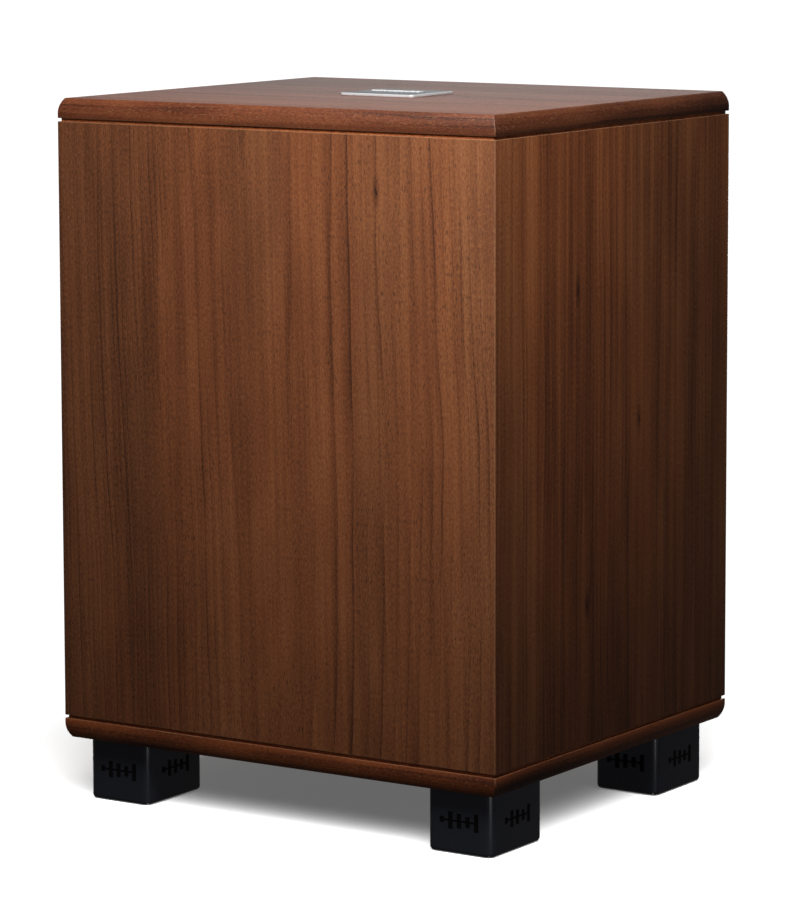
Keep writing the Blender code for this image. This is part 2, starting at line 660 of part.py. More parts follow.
def make_inlet(plastic, metal):
    """The mains inlet: a flanged block with a socket for the lead and a slot for the fuse drawer."""
    inlet = node("mains_inlet", plate_block(INLET_X, SOCKET_Z, INLET_FLANGE, GAP, INLET_LIP), plastic)
    combine(inlet, plate_block(INLET_X, SOCKET_Z, INLET_BODY, -INLET_DEPTH, 2 * GAP), "UNION")
    floor = INLET_LIP - SOCKET_DEPTH
    cut(inlet, plate_block(INLET_X, SOCKET_Z + SOCKET_UP, SOCKET_SIZE, floor, WALL))
    slot = (DRAWER_SIZE[0] + 2 * GAP, DRAWER_SIZE[1] + 2 * GAP)
    cut(inlet, plate_block(INLET_X, SOCKET_Z - DRAWER_DOWN, slot, INLET_LIP - DRAWER_DEPTH - GAP, WALL))
    for side in (-1, 0, 1):
        up = SOCKET_UP + (EARTH_UP if side == 0 else 0) - EARTH_UP / 2
        x = INLET_X + side * PIN_PITCH
        pin = plate_block(x, SOCKET_Z + up, PIN_SIZE, floor - 2 * GAP, floor + PIN_LENGTH)
        combine(inlet, pin, "UNION")

    half = (DRAWER_SIZE[0] / 2, DRAWER_SIZE[1] / 2)
    solid = box((-half[0], INLET_LIP - DRAWER_DEPTH, -half[1]), (half[0], INLET_LIP, half[1]))
    drawer = node("fuse_drawer", solid, plastic, on_plate(INLET_X, SOCKET_Z - DRAWER_DOWN))
    pull = DRAWER_PULL[0] / 2
    lip = box((-pull, INLET_LIP - GAP, -half[1]), (pull, INLET_LIP + DRAWER_LIP, -half[1] + DRAWER_PULL[1]))
    combine(drawer, lip, "UNION", drawer.location)
    inside = half[0] - DRAWER_WALL
    tray = box((-inside, INLET_LIP - DRAWER_DEPTH + DRAWER_WALL, -half[1] + DRAWER_FLOOR),
               (inside, INLET_LIP - DRAWER_FLOOR, half[1] + WALL))
    cut(drawer, tray, drawer.location)


def make_rocker(plastic):
    frame = node("rocker_frame", plate_block(ROCKER_X, SOCKET_Z, ROCKER_FLANGE, GAP, ROCKER_LIP), plastic)
    combine(frame, plate_block(ROCKER_X, SOCKET_Z, ROCKER_BODY, -ROCKER_DEPTH, 2 * GAP), "UNION")
    cut(frame, plate_block(ROCKER_X, SOCKET_Z, ROCKER_WELL, ROCKER_FLOOR - ROCKER_DEPTH, WALL))
    half = ROCKER_KEY[1] / 2
    # seen from the side: a shallow V to press on, and a rounded keel below the pivot
    shoulder = half - ROCKER_SHOULDER[0]
    outline = [(-half, ROCKER_ENDS), (0, ROCKER_DIP), (half, ROCKER_ENDS), (shoulder, ROCKER_SHOULDER[1]),
               (ROCKER_KEEL, -ROCKER_KEEL), (-ROCKER_KEEL, -ROCKER_KEEL), (-shoulder, ROCKER_SHOULDER[1])]
    key = prism([(height, along) for along, height in outline], -ROCKER_KEY[0] / 2, ROCKER_KEY[0] / 2)
    # the outline's X is out of the plate and its Y runs up; the key's width runs along X
    stand = Matrix(((0, 0, 1), (1, 0, 0), (0, 1, 0))).to_4x4()
    bmesh.ops.transform(key, matrix=Matrix.Rotation(-ROCKER_TILT, 4, "X") @ stand, verts=key.verts)
    node("power_rocker", key, plastic, on_plate(ROCKER_X, SOCKET_Z))


def make_jack(name, x, metal):
    inside = -PLATE - GAP
    barrel = JACK_BARREL + GAP
    bottom = inside - JACK_BODY_DEPTH
    jack = turned([(0, JACK_BORE_FLOOR), (JACK_BORE, JACK_BORE_FLOOR), (JACK_BORE, JACK_REACH),
                   (JACK_BARREL, JACK_REACH), (JACK_BARREL, JACK_NUT_HEIGHT), (JACK_NUT, JACK_NUT_HEIGHT),
                   (JACK_NUT, GAP), (barrel, GAP), (barrel, inside), (JACK_BODY, inside), (JACK_BODY, bottom),
                   (0, bottom)])
    node(name, jack, metal, on_plate(x, SOCKET_Z), FACE_REAR, smooth=True)


def make_electronics(board, copper, sleeve):
    half = BOARD_WIDTH / 2
    node("amp_board", box((-half, BOARD_Y - BOARD_SHEET, BOARD_LOW), (half, BOARD_Y, BOARD_HIGH)), board)
    face = BOARD_Y - BOARD_SHEET - GAP
    middle = (TRANSFORMER_RADIUS + TRANSFORMER_HOLE) / 2
    across = (TRANSFORMER_RADIUS - TRANSFORMER_HOLE) / 2
    deep = TRANSFORMER_DEPTH / 2
    steps = 8
    profile = []
    for step in range(steps):
        angle = -2 * math.pi * (step + 0.5) / steps
        stretch = 1 / math.cos(math.pi / steps)
        profile.append((middle + across * stretch * math.cos(angle), deep * stretch * math.sin(angle)))
    x, z = TRANSFORMER_PLACE
    node("power_transformer", turned(profile), copper, (x, face - deep, z), FACE_REAR, smooth=True)
    for side, (x, z) in zip(("left", "right"), CAPACITOR_PLACES):
        can = disc(CAPACITOR_RADIUS, -CAPACITOR_LENGTH, 0)
        node(f"filter_capacitor_{side}", can, sleeve, (x, face, z), FACE_REAR, smooth=True)


def smooth_route(stops, count):
    """Points along a Catmull-Rom curve through the stops."""
    stops = [Vector(stop) for stop in stops]
    stops = [2 * stops[0] - stops[1], *stops, 2 * stops[-1] - stops[-2]]
    spans = len(stops) - 3
    route = []
    for number in range(count + 1):
        place = min(number / count * spans, spans - 1e-6)
        span = int(place)
        t = place - span
        a, b, c, d = stops[span:span + 4]
        route.append(((2 * b) + (c - a) * t + (2 * a - 5 * b + 4 * c - d) * t**2
                      + (3 * b - a - 3 * c + d) * t**3) / 2)
    return route


def make_lead(sleeve):
    """The cable from the amplifier's board to the woofer, fixed at both ends."""
    end = wall_point(LEAD_END_RADIUS, FRAME_SHEET / 2 + TERMINAL_HEIGHT + LEAD_RADIUS + 2 * GAP)
    start_y = BOARD_Y - BOARD_SHEET - LEAD_RADIUS - GAP
    stops = [*((x, start_y - ahead, z) for x, ahead, z in LEAD_STOPS), (0, MIDDLE_Y + end.x, end.y)]
    curve = bpy.data.curves.new("woofer_lead", "CURVE")
    curve.dimensions = "3D"
    curve.bevel_depth = LEAD_RADIUS
    curve.bevel_resolution = 2
    curve.use_fill_caps = True
    spline = curve.splines.new("POLY")
    route = smooth_route(stops, LEAD_SEGMENTS)
    spline.points.add(len(route) - 1)
    for point, place in zip(spline.points, route):
        point.co = (*place, 1)
    lead = bpy.data.objects.new("woofer_lead", curve)
    lead.data.materials.append(sleeve)
    bpy.context.scene.collection.objects.link(lead)


def make_light(lens):
    profile = [(0, LIGHT_DOME), (0.7 * LIGHT_RADIUS, 0.7 * LIGHT_DOME), (LIGHT_RADIUS, GAP),
               (LIGHT_RADIUS, -LIGHT_DEPTH), (0, -LIGHT_DEPTH)]
    place = on_plate(LIGHT_X, CONTROL_Z)
    node("status_light", turned(profile, SCREW_ROUND), lens, place, FACE_REAR, smooth=True)


def main():
    clear_scene()
    veneer = material("walnut_veneer", (0.16, 0.07, 0.035), 0.4)
    fibreboard = material("stained_fibreboard", (0.035, 0.018, 0.012), 0.7)
    foot_plastic = material("foot_plastic", (0.012, 0.013, 0.018), 0.35)
    rubber = material("rubber", (0.015, 0.015, 0.016), 0.7)
    zinc = material("zinc_steel", (0.55, 0.55, 0.57), 0.35, 1.0)
    painted = material("painted_steel", (0.02, 0.02, 0.022), 0.45)
    ferrite = material("ferrite", (0.05, 0.05, 0.055), 0.75)
    paper = material("paper_cone", (0.025, 0.025, 0.027), 0.8)
    cloth = material("spider_cloth", (0.45, 0.28, 0.10), 0.9)
    copper = material("enamelled_copper", (0.50, 0.20, 0.08), 0.35, 0.8)
    kapton = material("amber_film", (0.45, 0.20, 0.03), 0.3)
    gloss_black = material("black_plastic", (0.01, 0.01, 0.011), 0.3)
    badge_grey = material("badge_grey", (0.09, 0.09, 0.095), 0.3, 0.6)
    chrome = material("chrome", (0.8, 0.8, 0.82), 0.1, 1.0)
    circuit_green = material("circuit_board", (0.02, 0.12, 0.05), 0.4)
    sleeve_blue = material("capacitor_sleeve", (0.02, 0.03, 0.12), 0.35)
    lens = material("light_lens", (0.02, 0.2, 0.5), 0.15)

    foot_places = {}
    for fore, sy in (("front", -1), ("rear", 1)):
        for side, sx in (("left", -1), ("right", 1)):
            foot_places[f"{fore}_{side}"] = (sx * FOOT_X, MIDDLE_Y + sy * FOOT_Y)

    make_cabinet(veneer, fibreboard, foot_places.values())
    make_badge(badge_grey, chrome)
    for side, (x, y) in foot_places.items():
        make_foot(side, x, y, foot_plastic, rubber, zinc)
    make_woofer(painted, rubber, zinc, ferrite, paper, cloth, copper, kapton, gloss_black)
    make_plate(painted, rubber)
    make_heat_sink(painted)
    make_control("crossover", CROSSOVER_X, gloss_black, zinc)
    make_control("level", LEVEL_X, gloss_black, zinc)
    make_slide_switch("phase", PHASE_X, gloss_black, zinc)
    make_slide_switch("mode", MODE_X, gloss_black, zinc)
    make_inlet(gloss_black, zinc)
    make_rocker(gloss_black)
    for number, name in enumerate(("line_jack_left", "line_jack_right", "lfe_jack")):
        make_jack(name, JACK_X - JACK_PITCH * number, zinc)
    make_electronics(circuit_green, copper, sleeve_blue)
    make_lead(gloss_black)
    make_light(lens)


main()
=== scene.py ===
"""Finish of a powered subwoofer: walnut cabinet, moulded feet, lid badge, woofer and rear amplifier."""

import math

import bmesh
import bpy
from mathutils import Matrix, Vector


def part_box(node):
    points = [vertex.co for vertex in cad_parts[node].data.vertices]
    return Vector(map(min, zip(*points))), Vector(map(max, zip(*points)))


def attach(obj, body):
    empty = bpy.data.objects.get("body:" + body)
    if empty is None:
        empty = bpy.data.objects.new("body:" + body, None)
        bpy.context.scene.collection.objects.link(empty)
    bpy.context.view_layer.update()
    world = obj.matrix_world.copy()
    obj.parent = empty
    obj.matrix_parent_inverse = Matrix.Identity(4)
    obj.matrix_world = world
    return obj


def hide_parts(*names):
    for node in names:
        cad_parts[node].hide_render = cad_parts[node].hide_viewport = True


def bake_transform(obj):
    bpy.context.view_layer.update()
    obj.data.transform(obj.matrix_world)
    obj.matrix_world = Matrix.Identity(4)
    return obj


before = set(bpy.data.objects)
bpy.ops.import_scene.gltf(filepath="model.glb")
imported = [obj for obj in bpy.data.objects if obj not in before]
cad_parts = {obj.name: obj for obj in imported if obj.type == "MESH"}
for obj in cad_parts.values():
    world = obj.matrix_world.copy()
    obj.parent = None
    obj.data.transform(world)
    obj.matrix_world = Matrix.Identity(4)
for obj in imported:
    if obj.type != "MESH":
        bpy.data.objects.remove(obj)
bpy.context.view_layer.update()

MM = 0.001
CABINET = "cabinet"
CONE_ASSEMBLY = "cone_assembly"
CREASE = math.radians(32)  # edges sharper than this stay sharp under smooth shading
GAP = 0.3 * MM  # what touching solids of the frame keep between them: pieces close it, or leave it as play


# ---------------------------------------------------------------- places taken from the frame

def measured(node):
    """A node's lowest corner, highest corner and middle, at rest."""
    low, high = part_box(node)
    return low, high, (low + high) / 2


BODY_LOW, BODY_HIGH = (corner.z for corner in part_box("front_panel"))
HALF_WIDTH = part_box("right_panel")[1].x
FRONT_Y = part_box("front_panel")[0].y
REAR_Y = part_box("rear_panel")[1].y
HALF_DEPTH = (REAR_Y - FRONT_Y) / 2
MIDDLE_Y = (REAR_Y + FRONT_Y) / 2
LID_LOW, LID_TOP = (corner.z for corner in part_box("lid_panel"))
BASE_LOW, BASE_TOP = (corner.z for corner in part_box("base_panel"))
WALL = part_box("front_panel")[1].y - FRONT_Y
PLATE_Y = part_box("amp_plate")[1].y
WOOFER = Vector((0, MIDDLE_Y, 0))


# ---------------------------------------------------------------- materials

class Flow:
    """One output of a node. Arithmetic on it adds Math nodes."""

    def __init__(self, finish, socket):
        self.finish = finish
        self.socket = socket

    def calc(self, operation, *others):
        return self.finish.node("ShaderNodeMath", {"operation": operation}, dict(enumerate((self, *others))))

    def __add__(self, other):
        return self.calc("ADD", other)

    def __mul__(self, other):
        return self.calc("MULTIPLY", other)

    def __sub__(self, other):
        return self.calc("SUBTRACT", other)

    def __pow__(self, other):
        return self.calc("POWER", other)

    def __rsub__(self, other):
        return self.finish.node("ShaderNodeMath", {"operation": "SUBTRACT"}, {0: other, 1: self})

    __radd__ = __add__
    __rmul__ = __mul__

    def span(self, low, high, to_low=0.0, to_high=1.0):
        """The value carried smoothly from low..high to to_low..to_high, and held at the ends."""
        return self.finish.node("ShaderNodeMapRange", {"interpolation_type": "SMOOTHSTEP"},
                                {"Value": self, "From Min": low, "From Max": high,
                                 "To Min": to_low, "To Max": to_high})


class Finish:
    """A material in the making."""

    def __init__(self, name, **constants):
        self.material = bpy.data.materials.new(name)
        self.material.use_nodes = True
        self.tree = self.material.node_tree
        self.shader = self.tree.nodes["Principled BSDF"]
        for key, value in constants.items():
            self.shader.inputs[key.replace("_", " ").title().replace("Ior", "IOR")].default_value = value

    def node(self, kind, settings, sockets, out=0):
        """Any node: its settings go first, then the values and links of its sockets."""
        made = self.tree.nodes.new(kind)
        for key, value in settings.items():
            if key == "stops":
                ramp = made.color_ramp
                while len(ramp.elements) < len(value):
                    ramp.elements.new(1.0)
                for element, (place, colour) in zip(ramp.elements, value):
                    element.position = place
                    element.color = (*colour, 1.0)
            else:
                setattr(made, key, value)
        live = {socket.name: socket for socket in reversed(made.inputs) if socket.enabled}
        for key, value in sockets.items():
            self.feed(live[key] if isinstance(key, str) else made.inputs[key], value)
        outputs = [socket for socket in made.outputs if socket.enabled]
        return Flow(self, outputs[out] if isinstance(out, int) else made.outputs[out])

    def feed(self, socket, value):
        if isinstance(value, Flow):
            self.tree.links.new(value.socket, socket)
        elif isinstance(value, tuple) and len(value) == 3 and socket.type == "RGBA":
            socket.default_value = (*value, 1.0)
        else:
            socket.default_value = value

    def set(self, **sockets):
        for key, value in sockets.items():
            self.feed(self.shader.inputs[key.replace("_", " ").title()], value)
        return self

    def place(self):
        """The point on the piece, in metres, in the object's own frame."""
        return self.node("ShaderNodeTexCoord", {}, {}, "Object")

    def scaled(self, vector, factors):
        return self.node("ShaderNodeVectorMath", {"operation": "MULTIPLY"}, {0: vector, 1: factors})

    def parts(self, vector):
        split = self.node("ShaderNodeSeparateXYZ", {}, {"Vector": vector}, "X")
        return [Flow(self, socket) for socket in split.socket.node.outputs]

    def joined(self, x, y, z):
        return self.node("ShaderNodeCombineXYZ", {}, {"X": x, "Y": y, "Z": z})

    def noise(self, vector, detail=2.0, roughness=0.5, scale=1.0, distortion=0.0):
        return self.node("ShaderNodeTexNoise", {}, {"Vector": vector, "Scale": scale, "Detail": detail,
                                                    "Roughness": roughness, "Distortion": distortion}, "Fac")

    def mix(self, factor, a, b, mode="MIX"):
        return self.node("ShaderNodeMix", {"data_type": "RGBA", "blend_type": mode},
                         {"Factor": factor, "A": a, "B": b})

    def ramp(self, value, *stops):
        return self.node("ShaderNodeValToRGB", {"stops": stops}, {"Fac": value}, "Color")

    def bump(self, height, strength):
        sockets = {"Strength": strength, "Distance": 0.2 * MM, "Height": height}
        return self.set(normal=self.node("ShaderNodeBump", {}, sockets))


def walnut(name, across, depth, along, heart, board, tint_and_painted_light=(1.0, 1.0, 1.0), pitch=3.2, line=0.34, pores=0.45,
           streaks=0.5, mottle=0.3, far_side=1.0, painted_shade_slope=0.0, lean=0.0, flecks=0.0, highlight_heights=(), knots=()):
    """Sliced walnut. The three letters say which axis runs across, into and along the grain.

    heart: where the growth rings' middle lies, across and below the face, in metres. board: a number that
    shifts the pattern, so that no two pieces repeat. pitch: the growth rings' spacing in millimetres.
    far_side: how densely they lie on the heart's far side, where 1 is as on the near side. line, pores,
    streaks, mottle and flecks: how strongly the late wood, the open grain, the fine stripes, the clouding and
    the pale filled pores show. painted_shade_slope: how much lighter the sheet gets, per metre across, as
    painted shade for light that falls off across the face, on top of the veneer's own drift in tone. lean: how
    much the grain leans over. highlight_heights: the heights of the piece's upper and lower edges, where a
    pale line is painted as their highlight, as it is along the upright corners.
    knots: places across and along, in metres, of pin knots.
    """
    finish = Finish(name, specular_ior_level=0.32)
    x, y, z = finish.parts(finish.place())
    axis = {"x": x, "y": y, "z": z}
    u, v, w = axis[across], axis[depth], axis[along]
    grain = finish.joined(u + board * 0.37 + w * lean, v, w + board * 0.91)

    def patches(across_scale, along_scale, detail=2.0, roughness=0.5):
        """Noise about zero, drawn out along the grain."""
        drawn_out = finish.scaled(grain, (across_scale, across_scale, along_scale))
        return finish.noise(drawn_out, detail, roughness) - 0.5

    def spread(*terms):
        """The distance from a centre, as the root of the terms' sum."""
        return sum(terms[1:], terms[0]) ** 0.5

    bend = patches(9.0, 2.4) * 0.024 + patches(45.0, 11.0) * 0.0045
    knot_dark = None
    for knot_u, knot_w in knots:
        off_u, off_w = u - knot_u, w - knot_w
        near = spread(off_u * off_u * 36.0, off_w * off_w).span(4 * MM, 30 * MM, 1.0, 0.0)
        bend = bend + near * (off_u * 0.75)
        core = spread(off_u * off_u, off_w * off_w * 0.16, off_u * off_w * 0.5)
        core = core.span(0.3 * MM, 1.6 * MM, 1.0, 0.0)
        halo = spread(off_u * off_u * 14.0, off_w * off_w).span(0.0, 16 * MM, 0.45, 0.0)
        dark = core.calc("MAXIMUM", halo)
        knot_dark = dark if knot_dark is None else knot_dark.calc("MAXIMUM", dark)

    # the rings that the slice cuts through: each darkens slowly, then ends sharply
    u_bent = u + w * lean - heart[0] + bend
    u_side = u_bent.calc("MAXIMUM", 0.0) * far_side + u_bent.calc("MINIMUM", 0.0)
    deep = patches(2.0, 2.6, 1.0) * 0.012 + heart[1]
    ring = spread(u_side * u_side, deep * deep) * (1000.0 / pitch)
    year = ring.calc("FLOOR")
    phase = ring.calc("FRACT")
    chance = finish.node("ShaderNodeTexWhiteNoise", {"noise_dimensions": "1D"}, {"W": year + board * 17.0},
                         "Value")
    sharp = phase.span(0.72, 0.97) * phase.span(1.0, 0.975)
    soft = phase.span(0.10, 0.97) * phase.span(1.0, 0.95)
    fade = patches(28.0, 7.0, 1.0).span(-0.2, 0.15, 0.15, 1.0)
    drawn = (sharp * 0.65 + soft * 0.35) * (chance * 0.85 + 0.15) * fade * line

    stripes = patches(150.0, 2.2, 3.0, 0.6) + patches(420.0, 5.0, 2.0) * 0.5
    clouds = patches(26.0, 1.6) + patches(55.0, 13.0) * 0.6
    speckle = patches(1000.0, 400.0, 3.0, 0.7)
    open_grain = patches(1400.0, 190.0, 1.0).span(0.08, 0.20) * patches(40.0, 12.0).span(-0.15, 0.2, 0.3, 1.0)
    # the term across u lightens the sheet steadily to one side: painted shade for the light falling off across
    # the face, on top of the veneer's own drift in tone
    tone = (clouds * mottle + stripes * streaks + speckle * 0.85 + u * painted_shade_slope + 0.55) - drawn
    if knot_dark:
        tone = tone - knot_dark * 0.55
    ground = finish.ramp(tone, (0.0, (0.020, 0.0060, 0.0022)), (0.30, (0.064, 0.0190, 0.0068)),
                         (0.55, (0.146, 0.0450, 0.0160)), (0.80, (0.232, 0.082, 0.0300)),
                         (1.0, (0.330, 0.138, 0.0570)))
    # the heartwood drifts between red and grey-brown
    ground = finish.mix(patches(14.0, 2.2, 1.0).span(-0.12, 0.12), ground,
                        finish.mix(1.0, ground, (0.93, 1.01, 1.06), "MULTIPLY"))
    # the tint multiplies the ground: it is the piece's own tone, but for the side lippings it is painted shade
    # and for the groove strip painted light
    ground = finish.mix(1.0, ground, tint_and_painted_light, "MULTIPLY")
    colour = finish.mix(open_grain * pores, ground, (0.016, 0.0055, 0.0024))
    if flecks:
        filled = patches(2400.0, 420.0, 1.0).span(0.12, 0.22) * flecks
        colour = finish.mix(filled, colour, (0.26, 0.125, 0.065))
    # painted highlight: a pale line along the upright corners and along the edges at the given heights, where
    # the arrises catch the light, broken up by noise
    if highlight_heights:
        corner_x = HALF_WIDTH - x.calc("ABSOLUTE")
        corner_y = HALF_DEPTH - (y - MIDDLE_Y).calc("ABSOLUTE")
        edge_highlight = corner_x.calc("MAXIMUM", corner_y).span(0.3 * MM, 0.8 * MM, 0.6, 0.0)
        for rim in highlight_heights:
            edge_highlight = edge_highlight.calc("MAXIMUM", (z - rim).calc("ABSOLUTE").span(0.25 * MM, 0.6 * MM, 0.8, 0.0))
        edge_highlight = edge_highlight * patches(300.0, 60.0).span(-0.2, 0.1, 0.3, 0.8)
        colour = finish.mix(edge_highlight, colour, (0.22, 0.110, 0.055))
    finish.set(base_color=colour, roughness=0.54 - tone * 0.10 + open_grain * 0.15)
    return finish.bump(speckle * 0.4 - open_grain * 0.9 - drawn * 0.5, 0.16)


def plain(name, colour, roughness, metallic=0.0, speckle=0.12, grain=900.0, bump=0.05, **constants):
    """Moulded, cast or painted stock: an even colour that varies a little, over a fine surface."""
    finish = Finish(name, metallic=metallic, **constants)
    place = finish.place()
    cloud = finish.noise(place, 3.0, 0.5, 35.0)
    fine = finish.noise(place, 2.0, 0.6, grain)
    shade = (cloud - 0.5) * speckle * 2 + (fine - 0.5) * speckle
    dark = tuple(channel * (1 - speckle * 1.5) for channel in colour)
    light = tuple(min(channel * (1 + speckle * 1.5) + speckle * 0.004, 1.0) for channel in colour)
    finish.set(base_color=finish.mix(shade + 0.5, dark, light),
               roughness=(fine - 0.5) * 0.16 + (cloud - 0.5) * 0.10 + roughness)
    return finish.bump(fine, bump)


def brushed(name, colour, roughness, stretch=(60.0, 2600.0, 2600.0), metallic=1.0):
    """Metal rubbed in one direction: stretch is the scratches' frequency along each axis."""
    finish = Finish(name, metallic=metallic)
    scratch = finish.noise(finish.scaled(finish.place(), stretch), 3.0, 0.7)
    cloud = finish.noise(finish.place(), 2.0, 0.5, 60.0)
    dark = tuple(channel * 0.78 for channel in colour)
    finish.set(base_color=finish.mix(scratch.span(0.25, 0.75), dark, colour),
               roughness=scratch * 0.18 + cloud * 0.08 + (roughness - 0.13))
    return finish.bump(scratch, 0.03)


def woven(name, colour):
    """Resin-stiffened cloth: two sets of threads that cross at right angles."""
    thread = 0.7 * MM
    finish = Finish(name)
    x, y, _ = finish.parts(finish.place())
    warp = (x * (math.tau / thread)).calc("SINE")
    weft = ((y - MIDDLE_Y) * (math.tau / thread)).calc("SINE")
    weave = warp * weft * 0.5 + 0.5
    stain = finish.noise(finish.place(), 3.0, 0.6, 70.0)
    dark = tuple(channel * 0.55 for channel in colour)
    finish.set(base_color=finish.mix(weave * 0.7 + stain * 0.3, dark, colour), roughness=0.95 - weave * 0.2)
    return finish.bump(weave, 0.5)


def pressed_paper(name, colour):
    """Cone paper: long fibres pressed flat, in no direction."""
    finish = Finish(name)
    place = finish.place()
    pulp = finish.noise(place, 5.0, 0.7, 420.0, 1.6)
    blotch = finish.noise(place, 2.0, 0.5, 45.0)
    dark = tuple(channel * 0.6 for channel in colour)
    light = tuple(channel * 1.7 for channel in colour)
    finish.set(base_color=finish.mix(pulp * 0.7 + blotch * 0.3, dark, light), roughness=0.9 - pulp * 0.3)
    return finish.bump(pulp, 0.35)


def glowing(name, colour, strength):
    """A lens lit from behind, a little paler in patches."""
    finish = Finish(name, emission_strength=strength, coat_weight=0.5)
    cloud = finish.noise(finish.place(), 1.0, 0.5, 700.0)
    dark = tuple(channel * 0.6 for channel in colour)
    return finish.set(base_color=finish.mix(cloud, dark, colour),
                      emission_color=finish.mix(cloud * 0.4, colour, (0.7, 0.85, 1.0)),
                      roughness=cloud * 0.1 + 0.1)


# the body's upper and lower edges, where the walnut gets a painted highlight line
BODY_HIGHLIGHT_HEIGHTS = (BODY_LOW, BODY_HIGH)
# the front's sheet is painted lighter towards +X: painted shade for the light falling off across it
FRONT_WALNUT = walnut("walnut_front", "x", "y", "z", (-0.012, 0.070), 1.0, pitch=3.0, line=0.36, pores=0.8,
                      streaks=0.40, mottle=0.42, far_side=0.5, painted_shade_slope=0.45, lean=0.02, highlight_heights=BODY_HIGHLIGHT_HEIGHTS,
                      knots=((0.0843, 0.4320),))
RIGHT_WALNUT = walnut("walnut_right", "y", "x", "z", (0.42, 0.05), 2.0, (1.03, 0.97, 0.88), 4.4, pores=0.30,
                      streaks=0.6, mottle=0.45, highlight_heights=BODY_HIGHLIGHT_HEIGHTS,
                      knots=((-0.0583, 0.3644), (0.0217, 0.2706), (-0.0457, 0.1534)))
LEFT_WALNUT = walnut("walnut_left", "y", "x", "z", (-0.30, 0.15), 3.0, (0.95, 0.94, 0.92), highlight_heights=BODY_HIGHLIGHT_HEIGHTS)
REAR_WALNUT = walnut("walnut_rear", "x", "y", "z", (0.05, 0.08), 4.0, (0.95, 0.94, 0.92), highlight_heights=BODY_HIGHLIGHT_HEIGHTS)
LID_WALNUT = walnut("walnut_lid", "y", "z", "x", (0.02, 0.09), 5.0, (0.80, 0.66, 0.60), 4.0, 0.45, 0.50, 0.5,
                    flecks=0.25)
BASE_WALNUT = walnut("walnut_base", "y", "z", "x", (-0.05, 0.10), 6.0, (0.8, 0.70, 0.64), 4.0, pores=0.30,
                     streaks=0.6)
# the lid's lipping along Y faces the sides and is a darker copy: painted shade, as less light falls on the
# sides than on the front
LID_LIPPING = [walnut(f"lid_lipping_{along}", "z", across, along, (LID_LOW - 0.05, 0.02), 7.0 + number,
                      tint_and_painted_light, 5.0, 0.45, streaks=0.6, mottle=1.2, flecks=0.6, highlight_heights=(LID_LOW,))
               for number, (along, across, tint_and_painted_light) in enumerate((("x", "y", (0.76, 0.60, 0.60)),
                                                               ("y", "x", (0.50, 0.42, 0.42))))]
# the same for the base: its side lipping is a darker copy, painted shade for the sides' lesser light
BASE_LIPPING = [walnut(f"base_lipping_{along}", "z", across, along, (BASE_LOW - 0.05, 0.02), 9.0 + number,
                       tint_and_painted_light, 5.0, 0.45, 0.40, streaks=0.6, mottle=1.1, flecks=0.6, highlight_heights=(BASE_TOP,))
                for number, (along, across, tint_and_painted_light) in enumerate((("x", "y", (1.02, 0.72, 0.50)),
                                                                ("y", "x", (0.85, 0.62, 0.44))))]
# the groove strip is tinted up to three times brighter than walnut: painted light, lifting the reveal out of
# the shade that the lid and body cast into it
GROOVE_WALNUT_PAINTED_LIGHT = walnut("walnut_groove_painted_light", "z", "y", "x", (0.4, 0.02), 11.0, (3.0, 2.6, 2.2), 3.0)
FIBREBOARD = plain("fibreboard", (0.24, 0.15, 0.085), 0.85, speckle=0.35, grain=1600.0, bump=0.25)
FOOT_PLASTIC = plain("foot_plastic", (0.0110, 0.0122, 0.0172), 0.30, speckle=0.25, grain=2200.0, bump=0.10,
                     specular_ior_level=0.5)
# near-black and almost without gloss: painted shade, standing for the shade inside the feet's debossed
# lettering
FOOT_LETTER_SHADE = plain("foot_letter_shade", (0.0025, 0.0025, 0.0035), 0.45, speckle=0.2, grain=1500.0, bump=0.05,
                  specular_ior_level=0.12)
RUBBER = plain("black_rubber", (0.014, 0.014, 0.015), 0.62, speckle=0.3, grain=1300.0, bump=0.14)
SURROUND_RUBBER = plain("surround_rubber", (0.010, 0.010, 0.011), 0.42, speckle=0.3, grain=600.0, bump=0.08)
GLOSS_BLACK = plain("black_plastic", (0.010, 0.010, 0.011), 0.30, speckle=0.25, grain=1800.0, bump=0.05)
MATT_BLACK = plain("textured_plastic", (0.013, 0.013, 0.014), 0.52, speckle=0.3, grain=2600.0, bump=0.3)
PAINTED_STEEL = plain("painted_steel", (0.016, 0.016, 0.017), 0.45, speckle=0.25, grain=1500.0, bump=0.22)
BLACK_ALUMINIUM = brushed("black_anodised", (0.035, 0.035, 0.037), 0.42, (2400.0, 2400.0, 50.0))
ZINC = brushed("zinc_steel", (0.58, 0.58, 0.60), 0.36, (500.0, 500.0, 500.0))
CHROME = plain("chrome", (0.86, 0.86, 0.87), 0.16, 0.4, speckle=0.05, grain=400.0, bump=0.01)
SATIN_SILVER = brushed("satin_silver", (0.74, 0.74, 0.75), 0.28, metallic=0.3)
BADGE_GREY = brushed("badge_grey", (0.050, 0.057, 0.064), 0.45, metallic=0.3)
NICKEL = plain("nickel", (0.62, 0.58, 0.52), 0.22, 1.0, speckle=0.1, grain=500.0, bump=0.02)
BRASS = plain("gilded_brass", (0.72, 0.50, 0.20), 0.20, 1.0, speckle=0.12, grain=500.0, bump=0.02)
FERRITE = plain("ferrite", (0.045, 0.045, 0.050), 0.75, speckle=0.5, grain=700.0, bump=0.4)
PAPER = pressed_paper("cone_paper", (0.020, 0.020, 0.022))
SPIDER_CLOTH = woven("spider_cloth", (0.46, 0.27, 0.09))
COPPER = brushed("enamelled_copper", (0.62, 0.24, 0.10), 0.34, (300.0, 300.0, 4200.0))
AMBER_FILM = plain("amber_film", (0.50, 0.22, 0.03), 0.28, speckle=0.2, bump=0.03)
CIRCUIT = plain("circuit_board", (0.012, 0.075, 0.030), 0.38, speckle=0.4, grain=260.0, bump=0.12)
